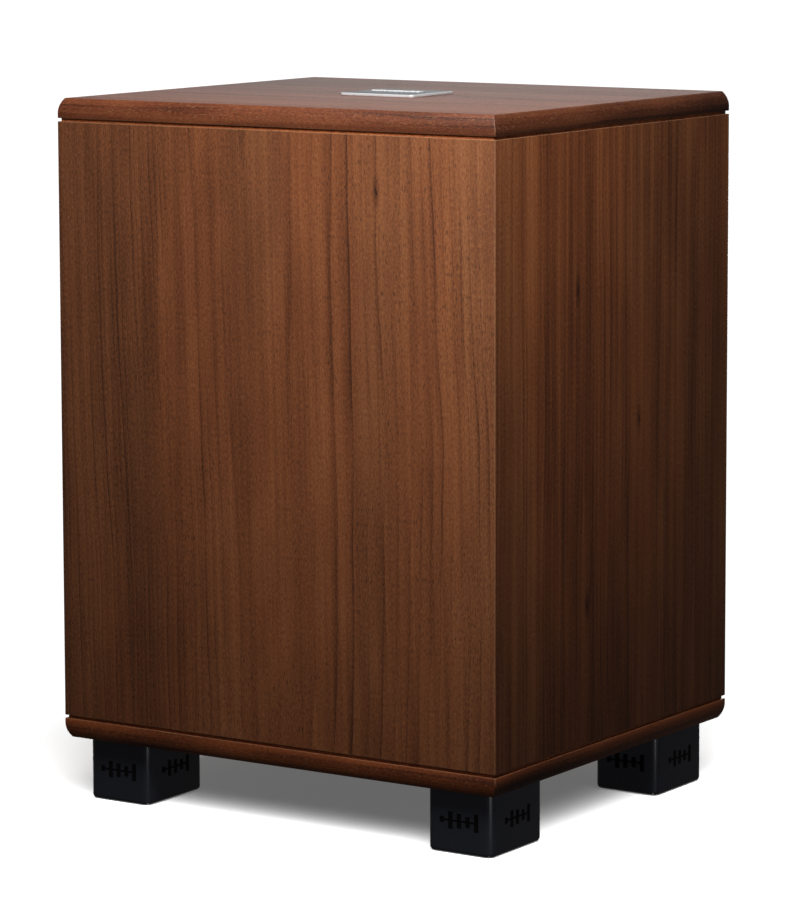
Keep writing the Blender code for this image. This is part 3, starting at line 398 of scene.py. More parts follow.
BLUE_SLEEVE = plain("capacitor_sleeve", (0.012, 0.020, 0.085), 0.30, speckle=0.2, bump=0.03)
WHITE_INK = plain("white_ink", (0.70, 0.70, 0.68), 0.6, speckle=0.08, bump=0.05)
RED_RING = plain("red_insulator", (0.52, 0.018, 0.014), 0.35, speckle=0.15, bump=0.04)
WHITE_RING = plain("white_insulator", (0.74, 0.73, 0.70), 0.35, speckle=0.08, bump=0.04)
PURPLE_RING = plain("purple_insulator", (0.16, 0.03, 0.30), 0.35, speckle=0.15, bump=0.04)
FUSE_GLASS = plain("fuse_glass", (0.75, 0.80, 0.80), 0.06, speckle=0.05, bump=0.01, transmission_weight=0.85)
BLUE_LIGHT = glowing("status_lens", (0.05, 0.28, 0.95), 1.6)


# ---------------------------------------------------------------- mesh tools

def piece(name, bm, finish, body=CABINET, replaces=()):
    """A finished piece from a bmesh, which may stand for CAD nodes.

    It rides on a body. Where body holds two bodies' names and the points where a bend would start and end,
    the piece is left in place, unattached.
    """
    bmesh.ops.recalc_face_normals(bm, faces=bm.faces)
    mesh = bpy.data.meshes.new(name)
    bm.to_mesh(mesh)
    bm.free()
    mesh.shade_smooth()
    mesh.set_sharp_from_angle(angle=CREASE)
    mesh.materials.append(finish.material)
    made = bpy.data.objects.new(name, mesh)
    bpy.context.scene.collection.objects.link(made)
    if isinstance(body, str):
        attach(made, body)
    else:
        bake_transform(made)
    if replaces:
        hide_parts(*replaces)
    return made


def carve(target, *cutters):
    """Takes the cutters out of a piece, and keeps the result as its mesh."""
    guides = []
    for number, bm in enumerate(cutters):
        bmesh.ops.recalc_face_normals(bm, faces=bm.faces)
        mesh = bpy.data.meshes.new(f"cutter_{number}")
        bm.to_mesh(mesh)
        bm.free()
        guide = bpy.data.objects.new(mesh.name, mesh)
        bpy.context.scene.collection.objects.link(guide)
        guides.append(guide)
        step = target.modifiers.new(guide.name, "BOOLEAN")
        step.operation = "DIFFERENCE"
        step.solver = "EXACT"
        step.object = guide
    graph = bpy.context.evaluated_depsgraph_get()
    cut = bpy.data.meshes.new_from_object(target.evaluated_get(graph))
    target.modifiers.clear()
    target.data = cut
    cut.shade_smooth()
    cut.set_sharp_from_angle(angle=CREASE)
    for guide in guides:
        bpy.data.objects.remove(guide, do_unlink=True)
    return target


def arc(start, end, steps):
    """Angles from start to end, in degrees."""
    return [math.radians(start + (end - start) * step / steps) for step in range(steps + 1)]


def eased(points, radius, steps=3, closed=True):
    """An outline or profile with every corner rounded off, as far as its sides allow."""
    corners = [Vector(point) for point in points]
    made = []
    for number, corner in enumerate(corners):
        if not closed and number in (0, len(corners) - 1):
            made.append(tuple(corner))
            continue
        to_last = corners[number - 1] - corner
        to_next = corners[(number + 1) % len(corners)] - corner
        turn = to_last.angle(to_next)
        if turn > math.radians(165):
            made.append(tuple(corner))
            continue
        reach = min(radius / math.tan(turn / 2), 0.45 * to_last.length, 0.45 * to_next.length)
        bend = reach * math.tan(turn / 2)
        inward = (to_last.normalized() + to_next.normalized()).normalized()
        centre = corner + inward * (bend / math.sin(turn / 2))
        first = corner + to_last.normalized() * reach - centre
        last = corner + to_next.normalized() * reach - centre
        for step in range(steps + 1):
            spoke = first.lerp(last, step / steps).normalized()
            made.append(tuple(centre + spoke * bend))
    return made


def loft(rings):
    """A closed body through rings of points, capped at both ends."""
    bm = bmesh.new()
    loops = [[bm.verts.new(point) for point in ring] for ring in rings]
    for lower, upper in zip(loops, loops[1:]):
        for here in range(len(lower)):
            after = (here + 1) % len(lower)
            bm.faces.new((lower[here], lower[after], upper[after], upper[here]))
    bm.faces.new(loops[0])
    bm.faces.new(loops[-1])
    return bm


def rounded_rectangle(width, depth, corner, steps=5):
    """A centred outline, anticlockwise from +X."""
    outline = []
    for turn, (sx, sy) in enumerate(((1, 1), (-1, 1), (-1, -1), (1, -1))):
        centre = Vector((sx * (width / 2 - corner), sy * (depth / 2 - corner)))
        for angle in arc(90 * turn, 90 * turn + 90, steps):
            outline.append((centre.x + corner * math.cos(angle), centre.y + corner * math.sin(angle)))
    return outline


def slab(width, depth, corner, low, high, edge=0.3 * MM, steps=5, soften=2):
    """An upright block with round corners, eased along its upper and lower edges."""
    rings = []
    ease = [(edge * (1 - math.sin(angle)), edge * (1 - math.cos(angle))) for angle in arc(0, 90, soften)]
    levels = [(inset, low + rise) for inset, rise in ease]
    levels += [(inset, high - rise) for inset, rise in reversed(ease)]
    for inset, height in levels:
        left_over = max(corner - inset, 0.02 * MM)
        outline = rounded_rectangle(width - 2 * inset, depth - 2 * inset, left_over, steps)
        rings.append([(x, y, height) for x, y in outline])
    return loft(rings)


def extruded(outline, low, high, edge=0.0, segments=2):
    """An outline in X and Y carried up Z, with its sharp edges bevelled."""
    bm = loft([[(x, y, z) for x, y in outline] for z in (low, high)])
    if edge:
        bevel(bm, edge, segments)
    return bm


def bevel(bm, width, segments=2):
    """Breaks every edge that turns by more than 40 degrees."""
    bmesh.ops.recalc_face_normals(bm, faces=bm.faces)
    sharp = [e for e in bm.edges if e.is_manifold and e.calc_face_angle() > math.radians(40)]
    bmesh.ops.bevel(bm, geom=sharp, offset=width, offset_type="OFFSET", segments=segments, profile=0.5,
                    affect="EDGES", clamp_overlap=True)
    return bm


def block(low, high, edge=0.2 * MM):
    """A box between two corners, with its edges broken."""
    bm = bmesh.new()
    size = Vector(high) - Vector(low)
    centre = (Vector(high) + Vector(low)) / 2
    bmesh.ops.create_cube(bm, size=1, matrix=Matrix.Translation(centre) @ Matrix.Diagonal((*size, 1)))
    return bevel(bm, edge) if edge else bm


def lathe(profile, sides=64):
    """A profile of (radius, height) turned about Z. It is a closed loop unless it starts on the axis."""
    bm = bmesh.new()
    points = [bm.verts.new((radius, 0, height)) for radius, height in profile]
    edges = [bm.edges.new(pair) for pair in zip(points, points[1:])]
    if profile[0][0] > 0:
        edges.append(bm.edges.new((points[-1], points[0])))
    bmesh.ops.spin(bm, geom=points + edges, cent=(0, 0, 0), axis=(0, 0, 1), angle=math.tau, steps=sides,
                   use_merge=True)
    bmesh.ops.remove_doubles(bm, verts=bm.verts, dist=1e-7)
    return bm


def turned(inner, outer, low, high, edge=0.0, sides=48, steps=3):
    """A tube about Z with its edges rounded, or a disc where the inner radius is 0."""
    profile = [(inner, high), (outer, high), (outer, low), (inner, low)]
    return lathe(eased(profile, edge, steps, closed=inner > 0) if edge else profile, sides)


def moved(bm, place, turn=None):
    """Carries a bmesh to its place, turned first by a matrix."""
    matrix = Matrix.Translation(place) @ (turn.to_4x4() if turn else Matrix.Identity(4))
    bmesh.ops.transform(bm, matrix=matrix, verts=bm.verts)
    return bm


def together(*parts):
    """Several bmeshes as one piece."""
    whole = bmesh.new()
    for part in parts:
        mesh = bpy.data.meshes.new("part")
        part.to_mesh(mesh)
        part.free()
        whole.from_mesh(mesh)
        bpy.data.meshes.remove(mesh)
    return whole


def sheet_profile(path, thickness):
    """A path thickened by half a sheet on each side. A path that starts on the axis stays open there."""
    points = [Vector(point) for point in path]
    runs = [(after - here).normalized() for here, after in zip(points, points[1:])]
    sides = []
    for side in (1, -1):
        line = []
        for point, before, after in zip(points, [runs[0], *runs], [*runs, runs[-1]]):
            along = (before + after).normalized()
            half = side * thickness / 2 / along.dot(before)
            line.append((point.x - along.y * half, point.y + along.x * half))
        if points[0].x == 0:
            line[0] = (0, line[0][1])
        sides.append(line)
    return [*reversed(sides[0]), *sides[1]] if points[0].x else [*sides[0], *reversed(sides[1])]


BACKWARDS = Matrix.Rotation(-math.pi / 2, 3, "X")  # turns +Z to +Y


def wave_bars(width, height, bars, bar, rail):
    """A plain emblem: upright bars whose heights swell and fall like a sound wave, on a thin rail."""
    upper = []
    for number in range(bars):
        share = number / (bars - 1)
        x = (share - 0.5) * (width - bar)
        reach = height / 2 * (0.35 + 0.65 * abs(math.sin(1.5 * math.pi * share)))
        for side, y in ((-1, rail / 2), (-1, reach), (1, reach), (1, rail / 2)):
            upper.append((x + side * bar / 2, y))
    return [*upper, *((x, -y) for x, y in reversed(upper))]


# ---------------------------------------------------------------- cabinet

CORNER = 0.8 * MM  # the veneered corners are only broken, not rounded
ARRIS = 0.35 * MM


def panel_outline(half_length, face, inset):
    """One mitred wall from above: its outer face at -Y, with its half of each corner's rounding."""
    right = []
    for angle in arc(-90, -45, 4):
        right.append((half_length - CORNER + (CORNER - inset) * math.cos(angle),
                      -face + CORNER + (CORNER - inset) * math.sin(angle)))
    right.append((half_length - WALL, WALL - face))
    return [*((-x, y) for x, y in reversed(right)), *right]


def cabinet_wall(node, half_length, face, turn, finish):
    rings = []
    ease = [(ARRIS * (1 - math.sin(angle)), ARRIS * (1 - math.cos(angle))) for angle in arc(0, 90, 3)]
    levels = [(inset, BODY_LOW + rise) for inset, rise in ease]
    levels += [(inset, BODY_HIGH - rise) for inset, rise in reversed(ease)]
    for inset, height in levels:
        rings.append([(x, y, height) for x, y in panel_outline(half_length, face, inset)])
    bm = moved(loft(rings), (0, MIDDLE_Y, 0), Matrix.Rotation(turn, 3, "Z"))
    return piece(f"{node}_veneered", bm, finish, replaces=[node])


def edged_board(low, high, upwards):
    """Lid or base: an upright edge that rolls over on one side, with its plan corners just broken."""
    flat = 3.2 * MM
    inset = 3.6 * MM
    height = high - low
    radius = ((height - flat)**2 + inset**2) / (2 * inset)
    sweep = math.degrees(math.asin((height - flat) / radius))
    profile = [(0.4 * MM, 0.0), (0.12 * MM, 0.12 * MM), (0.0, 0.4 * MM)]
    profile += [(radius * (1 - math.cos(a)), flat + radius * math.sin(a)) for a in arc(0, sweep * 0.975, 12)]
    profile += [(inset + 0.10 * MM, height - 0.08 * MM), (inset + 0.5 * MM, height)]
    rings = []
    for draw_in, rise in profile:
        outline = rounded_rectangle(2 * (HALF_WIDTH - draw_in), 2 * (HALF_DEPTH - draw_in), 0.7 * MM)
        z = low + rise if upwards else high - rise
        rings.append([(x, y + MIDDLE_Y, z) for x, y in outline])
    return loft(rings)


def add_lipping(board, lipping):
    """Gives a board's edges their solid lipping, its grain along each edge, mitred at the corners."""
    for finish in lipping:
        board.data.materials.append(finish.material)
    for face in board.data.polygons:
        place = face.center
        on_edge = max(abs(place.x) - HALF_WIDTH, abs(place.y - MIDDLE_Y) - HALF_DEPTH) > -5 * MM
        if on_edge and abs(face.normal.z) < 0.9:
            # the sideways faces take the darker lipping copy, which is painted shade
            sideways = HALF_WIDTH - abs(place.x) < HALF_DEPTH - abs(place.y - MIDDLE_Y)
            face.material_index = 2 if sideways else 1


def amplifier_opening():
    """The cutter for the hole behind the amplifier plate, which laps over it all round."""
    low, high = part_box("amp_plate")
    lap = 15 * MM
    return block((low.x + lap, REAR_Y - 2 * WALL, low.z + lap), (high.x - lap, REAR_Y + WALL, high.z - lap), 0)


def make_cabinet():
    quarter = math.pi / 2
    cabinet_wall("front_panel", HALF_WIDTH, HALF_DEPTH, 0, FRONT_WALNUT)
    cabinet_wall("right_panel", HALF_DEPTH, HALF_WIDTH, quarter, RIGHT_WALNUT)
    cabinet_wall("left_panel", HALF_DEPTH, HALF_WIDTH, -quarter, LEFT_WALNUT)
    rear = cabinet_wall("rear_panel", HALF_WIDTH, HALF_DEPTH, 2 * quarter, REAR_WALNUT)
    carve(rear, amplifier_opening())

    lid = piece("lid_veneered", edged_board(LID_LOW, LID_TOP, True), LID_WALNUT,
                replaces=["lid_panel"])
    add_lipping(lid, LID_LIPPING)
    base = piece("base_veneered", edged_board(BASE_LOW, BASE_TOP, False), BASE_WALNUT,
                 replaces=["base_panel"])
    gasket_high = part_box("woofer_gasket")[1]
    rebate, seat = gasket_high.x + 1 * MM, gasket_high.z + GAP
    hole, over = rebate - 13.5 * MM, BASE_TOP + WALL
    profile = [(0, over), (hole, over), (hole, seat), (rebate, seat), (rebate, 0), (0, 0)]
    cutters = [moved(lathe(profile, 96), WOOFER)]
    for side in FEET:
        _, bolt_high, centre = measured(f"foot_bolt_{side}")
        cutters.append(moved(turned(0, 2.8 * MM, 0, bolt_high.z + GAP, sides=24), (centre.x, centre.y, 0)))
    carve(base, *cutters)
    add_lipping(base, BASE_LIPPING)

    for name, node in (("top_shadow_strip", "top_reveal_frame"), ("base_shadow_strip", "base_reveal_frame")):
        low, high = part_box(node)
        outline = rounded_rectangle(high.x - low.x, high.y - low.y, 1 * MM)
        bm = extruded(outline, low.z - GAP, high.z + GAP)
        strip = piece(name, moved(bm, (0, MIDDLE_Y, 0)), GROOVE_WALNUT_PAINTED_LIGHT, replaces=[node])
        rim = 13 * MM
        carve(strip, block((low.x + rim, low.y + rim, 0), (high.x - rim, high.y - rim, LID_TOP), 0))


FEET = ("front_left", "front_right", "rear_left", "rear_right")


def make_feet():
    """Moulded feet with their pads, and raised marks painted with the shade of debossed lettering. Returns the
    mouldings.
    """
    moulded = []
    for side in FEET:
        low, high, centre = measured(f"foot_{side}")
        spot = (centre.x, centre.y, 0)
        width, depth = high.x - low.x, high.y - low.y
        edge, corner = 2.4 * MM, 5.6 * MM
        rings = []
        for angle in arc(0, 90, 5):
            inset = edge * (1 - math.sin(angle))
            outline = rounded_rectangle(width - 2 * inset, depth - 2 * inset, corner - inset, 8)
            rings.append([(x, y, low.z + edge * (1 - math.cos(angle))) for x, y in outline])
        rings.append([(x, y, high.z + GAP) for x, y in rounded_rectangle(width, depth, corner, 8)])
        foot = piece(f"foot_{side}_moulded", moved(loft(rings), spot), FOOT_PLASTIC,
                     replaces=[f"foot_{side}"])
        moulded.append(foot)
        pad_low, pad_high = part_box(f"foot_pad_{side}")
        radius = (pad_high.x - pad_low.x) / 2
        carve(foot, moved(turned(0, radius + GAP, -WALL, pad_high.z + GAP), spot))
        pad = moved(turned(0, radius, 0, pad_high.z, 0.4 * MM), spot)
        piece(f"foot_pad_{side}_turned", pad, RUBBER, replaces=[f"foot_pad_{side}"])
        # the marks' near-black colour is painted shade for the debossed lettering of the real feet
        marks = []
        for quarter in range(4):
            span, half = (depth, width / 2) if quarter % 2 else (width, depth / 2)
            outline = wave_bars(min(span * 0.60, 31 * MM), 12 * MM, 5, 3.4 * MM, 1.4 * MM)
            bars = extruded(outline, 0, 0.22 * MM, 0.06 * MM, 1)
            turn = Matrix.Rotation(quarter * math.pi / 2, 3, "Z")
            out = turn @ Vector((0, -half + 0.1 * MM, 0))
            upright = turn @ Matrix.Rotation(math.pi / 2, 3, "X")
            marks.append(moved(bars, (centre.x + out.x, centre.y + out.y, 22.5 * MM), upright))
        piece(f"foot_{side}_marks", together(*marks), FOOT_LETTER_SHADE)
    return moulded


def make_badge():
    low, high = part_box("badge_plate")
    place = (0, MIDDLE_Y, 0)
    width, depth = high.x - low.x, high.y - low.y
    bm = slab(width, depth, 3 * MM, low.z - GAP, high.z, 0.25 * MM)
    piece("badge_body", moved(bm, place), SATIN_SILVER, replaces=["badge_plate"])
    rim = 0.7 * MM
    inlay = slab(width - 2 * rim, depth - 2 * rim, 2.4 * MM, high.z - 0.4 * MM, high.z + 0.08 * MM, 0.05 * MM)
    piece("badge_face", moved(inlay, place), BADGE_GREY)
    low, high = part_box("badge_emblem")
    outline = wave_bars(high.x - low.x, high.y - low.y, 11, 1.8 * MM, 1.2 * MM)
    bars = extruded(outline, low.z - GAP, high.z, 0.15 * MM)
    piece("badge_wave", moved(bars, place), CHROME, replaces=["badge_emblem"])


# ---------------------------------------------------------------- woofer

MAGNET_BORE = 28.5 * MM


def bolt_head(radius, height, socket):
    """A pan head with a round socket, standing on Z = 0."""
    crown = [(radius * math.cos(a), height * (0.35 + 0.65 * math.sin(a))) for a in arc(0, 60, 4)]
    floor = height * 0.4
    profile = [(radius, 0), *crown, (socket * 1.15, crown[-1][1]), (socket, crown[-1][1] - 0.1 * MM)]
    profile += [(socket, floor), (0, floor)]
    return lathe([(0, 0), *profile], 24)


def woofer_ring(node, inner, finish, edge, body=CABINET, spread=0.0, steps=3):
    """A plain ring of the woofer, between its inner radius and its node's outer one."""
    low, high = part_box(node)
    bm = turned(inner, high.x, low.z - spread, high.z + spread, edge, 96, steps)
    return piece(f"{node}_turned", moved(bm, WOOFER), finish, body, [node])


def woofer_sheet(name, path, thickness, finish, body=CABINET, replaces=(), sides=96):
    """A pressed or moulded part of the woofer, turned from a thin sheet's path of (radius, height)."""
    bm = lathe(sheet_profile(path, thickness), sides)
    return piece(name, moved(bm, WOOFER), finish, body, replaces)


def on_circle(radius, degrees):
    """A point on a circle round the woofer's axis."""
    return radius * math.cos(math.radians(degrees)), radius * math.sin(math.radians(degrees))


def make_woofer():
    woofer_ring("woofer_gasket", 116 * MM, RUBBER, 0.3 * MM, spread=GAP)
    low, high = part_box("woofer_basket")
    steel = 1.8 * MM
    flange, back = low.z + steel / 2, high.z - steel / 2
    wall, cup = 112.5 * MM, 60 * MM
    bend, ledge = flange + 25.3 * MM, flange + 62.3 * MM
    path = [(high.x, flange), (wall, flange), (wall, bend), (66 * MM, ledge), (cup, ledge), (cup, back),
            (MAGNET_BORE, back)]
    basket = woofer_sheet("woofer_basket_pressed", eased(path, 2.2 * MM, 4, closed=False), steel, PAINTED_STEEL,
                          replaces=["woofer_basket"])
    windows = []
    for number in range(6):
        turns = [number * 60 + share * 3.8 for share in (-5, -3, -1, 1, 3, 5)]
        outline = [on_circle(104 * MM, turn) for turn in turns]
        outline += [on_circle(74 * MM, turn) for turn in reversed(turns)]
        windows.append(moved(extruded(eased(outline, 4 * MM), bend - steel, ledge + 13 * MM), WOOFER))
    carve(basket, *windows)
    woofer_ring("woofer_trim_ring", 113.5 * MM, RUBBER, 0.8 * MM, steps=4)
    make_surround(flange - 2.7 * MM)
    make_cone(flange)

    inner, outer, middle_z = 25.9 * MM, 64 * MM, flange + 59.3 * MM
    waves, steps = 5, 40
    path = []
    for step in range(steps + 1):
        share = step / steps
        wave = 1.4 * MM * math.sin(math.tau * waves * share)
        path.append((inner + (outer - inner) * share, middle_z + wave))
    woofer_sheet("spider_pressed", path, 0.6 * MM, SPIDER_CLOTH, replaces=["spider"])
    make_motor()

    heads = []
    count = 8
    for number in range(count):
        head = bolt_head(3.3 * MM, 1.9 * MM, 1.5 * MM)
        x, y = on_circle(125 * MM, 360 * (number + 0.5) / count)
        heads.append(moved(head, (WOOFER.x + x, WOOFER.y + y, low.z), Matrix.Rotation(math.pi, 3, "X")))
    piece("woofer_screws", together(*heads), ZINC)


def make_surround(surround_z):
    """A half roll of rubber that hangs below its two flats, and joins the cone to the basket."""
    roll, centre = 6.2 * MM, 105 * MM
    # the two halves of the roll meet at its crest, which moves half as far as the cone
    top, below = (0, 0, surround_z), (0, 0, surround_z - 2 * roll)
    inside = [(93 * MM, surround_z), (centre - roll - 0.6 * MM, surround_z)]
    inside += [(centre + roll * math.cos(a), surround_z + roll * math.sin(a)) for a in arc(180, 272, 11)]
    outside = [(centre + roll * math.cos(a), surround_z + roll * math.sin(a)) for a in arc(268, 360, 11)]
    outside += [(centre + roll + 0.6 * MM, surround_z), (118 * MM, surround_z)]
    halves = (("surround_moulded", outside, top, below), ("surround_inner_half", inside, below, top))
    for name, path, start, end in halves:
        woofer_sheet(name, path, 1.0 * MM, SURROUND_RUBBER, (CABINET, CONE_ASSEMBLY, start, end),
                     ["surround"], 128)


def make_cone(flange):
    """The paper cone, a little bowed, with its dust cap and the bead of glue round it."""
    steps, rim, neck = 14, 98 * MM, 26.4 * MM
    depth, drop, bow = 48.9 * MM, 1.1 * MM, 3.5 * MM
    path = []
    for step in range(steps + 1):
        share = step / steps
        height = flange - drop + depth * share - bow * math.sin(math.pi * share)
        path.append((rim + (neck - rim) * share, height))
    woofer_sheet("cone_pressed", path, 0.9 * MM, PAPER, CONE_ASSEMBLY, ["cone"], 128)
    rise, reach, edge_z = 12 * MM, 40 * MM, flange + 33.8 * MM
    radius = (reach**2 + rise**2) / (2 * rise)
    sweep = math.degrees(math.asin(reach / radius))
    path = [(radius * math.sin(a), edge_z - rise + radius * (1 - math.cos(a))) for a in arc(0, sweep, 14)]
    woofer_sheet("dust_cap_pressed", path, 0.8 * MM, PAPER, CONE_ASSEMBLY, ["dust_cap"])
    bead = []
    for angle in arc(0, 330, 11):
        bead.append((40.2 * MM + 1.1 * MM * math.cos(angle), edge_z - 0.1 * MM + 0.8 * MM * math.sin(angle)))
    piece("dust_cap_glue_bead", moved(lathe(bead, 96), WOOFER), SURROUND_RUBBER, CONE_ASSEMBLY)


def make_motor():
    """The magnet with its plates, and the coil that rides in its gap."""
    woofer_ring("magnet_top_plate", MAGNET_BORE, ZINC, 0.5 * MM)
    woofer_ring("ferrite_magnet", 33 * MM, FERRITE, 1.2 * MM)
    woofer_ring("coil_former", 25 * MM, AMBER_FILM, 0.1 * MM, CONE_ASSEMBLY)
    low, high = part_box("magnet_yoke")
    plate_low, vent, pole = high.z - 8 * MM, 8 * MM, 24 * MM
    profile = [(vent, high.z), (high.x, high.z), (high.x, plate_low), (pole, plate_low), (pole, low.z),
               (vent, low.z)]
    piece("magnet_yoke_turned", moved(lathe(eased(profile, 0.8 * MM), 96), WOOFER), ZINC,
          replaces=["magnet_yoke"])

    # the coil's turns, as a rippled winding
    low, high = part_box("voice_coil")
    turns, inner = 26, 25.8 * MM
    pitch = (high.z - low.z) / turns
    groove = pitch * 0.35
    outside = []
    for turn in range(turns):
        height = high.z - pitch * (turn + 0.5)
        for angle in arc(90, -90, 3)[:-1]:
            outside.append((high.x - groove * (1 - math.cos(angle)), height + pitch / 2 * math.sin(angle)))
    profile = [(inner, high.z), *outside[1:], (high.x - groove, low.z), (inner, low.z)]
    piece("voice_coil_wound", moved(lathe(profile, 72), WOOFER), COPPER, CONE_ASSEMBLY,
          ["voice_coil"])


# ---------------------------------------------------------------- amplifier

INK = 0.05 * MM  # printed marks stand this much proud
LEVER_TRAVEL = 4 * MM


def facing_back(bm, x, z, out=0.0):
    """Carries a piece made about Z to the amplifier plate, pointing backwards."""
    return moved(bm, (x, PLATE_Y + out, z), BACKWARDS)


def make_plate():
    low, high, centre = measured("amp_plate")
    width, height = high.x - low.x, high.z - low.z
    thick = high.y - low.y
    bm = slab(width, height, 6 * MM, -thick, 0, 0.5 * MM, 6, 3)
    plate = piece("amp_plate_painted", facing_back(bm, 0, centre.z), PAINTED_STEEL,
                  replaces=["amp_plate"])
    cutters = []
    for node, rim in (("mains_inlet", 3.0 * MM), ("rocker_frame", 1.4 * MM)):
        room_low, room_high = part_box(node)
        cutters.append(block((room_low.x + rim, low.y - WALL, room_low.z + rim),
                             (room_high.x - rim, high.y + WALL, room_high.z - rim), 0))
    for name in ("phase", "mode"):
        lever_low, lever_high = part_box(f"{name}_lever")
        room = 0.6 * MM
        cutters.append(block((lever_low.x - room, low.y - WALL, lever_low.z - room),
                             (lever_high.x + room, high.y + WALL, lever_high.z + LEVER_TRAVEL + room), 0))
    for node, radius in (("crossover_knob", 4.8), ("level_knob", 4.8), ("line_jack_left", 4.8),
                         ("line_jack_right", 4.8), ("lfe_jack", 4.8), ("status_light", 1.8)):
        _, _, place = measured(node)
        hole = turned(0, radius * MM, -WALL, WALL, sides=32)
        cutters.append(facing_back(hole, place.x, place.z))
    carve(plate, *cutters)

    seal_low, seal_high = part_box("amp_gasket")
    seal_thick = seal_high.y - seal_low.y + 2 * GAP
    sheet = slab(width - 1 * MM, height - 1 * MM, 6 * MM, -seal_thick, 0, 0.1 * MM)
    seal = piece("amp_gasket_cut", moved(sheet, (0, low.y, centre.z), BACKWARDS), RUBBER,
                 replaces=["amp_gasket"])
    carve(seal, amplifier_opening())

    inset, spacing = 7 * MM, 52 * MM
    ends = (low.z + inset, high.z - inset)
    places = [(0, z) for z in ends]
    for x in (low.x + inset, high.x - inset):
        places += [(x, z) for z in (*ends, centre.z + spacing, centre.z - spacing)]
    screws = [facing_back(bolt_head(3.6 * MM, 2.0 * MM, 1.5 * MM), x, z) for x, z in places]
    piece("amp_plate_screws", together(*screws), BLACK_ALUMINIUM)


def make_heat_sink():
    """Cooling fins with round tips on a flat base."""
    low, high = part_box("heat_sink")
    foot, tip, half = low.y - GAP, high.y, high.x
    root = foot + 3.5 * MM
    fins, thick, taper = 15, 2.2 * MM, 0.35 * MM
    round_tip = thick / 2 - taper
    outline = [(-half, foot), (half, foot)]
    for number in reversed(range(fins)):
        left = -half + number * (2 * half - thick) / (fins - 1)
        right = left + thick
        middle = left + thick / 2
        if number < fins - 1:
            outline.append((right, root))
        outline.append((right - taper, tip - round_tip))
        for angle in arc(20, 160, 4):
            across, up = round_tip * math.cos(angle), round_tip * math.sin(angle)
            outline.append((middle + across, tip - round_tip + up))
        outline.append((left + taper, tip - round_tip))
        if number:
            outline.append((left, root))
    fin_block = extruded(outline, low.z, high.z, 0.25 * MM, 1)
    piece("heat_sink_finned", fin_block, BLACK_ALUMINIUM, replaces=["heat_sink"])


def make_knobs():
    for name in ("crossover", "level"):
        body = f"{name}_knob"
        low, high, place = measured(body)
        top, shaft_end = high.y - PLATE_Y, low.y - PLATE_Y
        lift, base, tip, recess, bore = 0.6 * MM, 8.8 * MM, 7.9 * MM, 6 * MM, 3 * MM
        flutes, steps = 20, 120
        rings = []
        side = [(base, lift), (base, lift + 1.2 * MM), (base - 0.45 * MM, lift + 1.8 * MM)]
        side += [(tip + 0.25 * MM, top - 1.2 * MM)]
        side += [(tip - 0.9 * MM + 0.9 * MM * math.cos(a), top - 0.9 * MM + 0.9 * MM * math.sin(a))
                 for a in arc(15, 90, 4)]
        for level, (radius, height) in enumerate(side):
            depth = 0.30 * MM if 2 <= level <= 4 else 0.0
            ring = []
            for step in range(steps):
                angle = math.tau * step / steps
                wave = radius - depth * (0.5 - 0.5 * math.cos(angle * flutes))**2
                ring.append((wave * math.cos(angle), wave * math.sin(angle), height))
            rings.append(ring)
        knob = piece(f"{name}_knob_moulded", facing_back(loft(rings), place.x, place.z), MATT_BLACK,
                     body, [body])
        carve(knob, facing_back(turned(bore, recess, -WALL, 5.6 * MM), place.x, place.z))
        shaft = turned(0, bore, shaft_end, 1 * MM, 0.4 * MM, 32)
        piece(f"{name}_shaft", facing_back(shaft, place.x, place.z), NICKEL, body)
        half_turn = Matrix.Rotation(math.pi, 3, "Z")
        pointer = block((-0.45 * MM, 1.5 * MM, top - 0.35 * MM), (0.45 * MM, tip - 0.5 * MM, top), 0.1 * MM)
        pointer = facing_back(moved(pointer, (0, 0, 0), half_turn), place.x, place.z, 0.05 * MM)
        piece(f"{name}_pointer", pointer, WHITE_INK, body)
        ticks = []
        for number in range(11):
            angle = math.radians(-150 + 30 * number)
            end, half_wide = (14.0 * MM, 0.35 * MM) if number in (0, 5, 10) else (12.8 * MM, 0.22 * MM)
            tick = block((-half_wide, 11.2 * MM, 0), (half_wide, end, INK), 0)
            turn = Matrix.Rotation(angle, 3, "Z") @ half_turn
            ticks.append(facing_back(moved(tick, (0, 0, 0), turn), place.x, place.z))
        piece(f"{name}_scale", together(*ticks), WHITE_INK)
        nut = turned(4.6 * MM, 7.6 * MM, 0, 2.4 * MM, 0.2 * MM, 6)
        piece(f"{name}_nut", facing_back(nut, place.x, place.z), ZINC)


def make_levers():
    for name in ("phase", "mode"):
        body = f"{name}_lever"
        low, high, centre = measured(body)
        parts = [block(low, high, 0.3 * MM)]
        proud, half_rib = 0.05 * MM, 0.25 * MM
        for height in (centre.z - 1.2 * MM, centre.z, centre.z + 1.2 * MM):
            parts.append(block((low.x - proud, high.y - 0.1 * MM, height - half_rib),
                               (high.x + proud, high.y + 0.25 * MM, height + half_rib), 0.08 * MM))
        piece(f"{name}_lever_ribbed", together(*parts), GLOSS_BLACK, body, [body])
        dots = []
        for z in (low.z, high.z + LEVER_TRAVEL):
            dots.append(facing_back(turned(0, 0.8 * MM, 0, INK, sides=24), centre.x + 5.2 * MM, z))
        piece(f"{name}_marks", together(*dots), WHITE_INK)


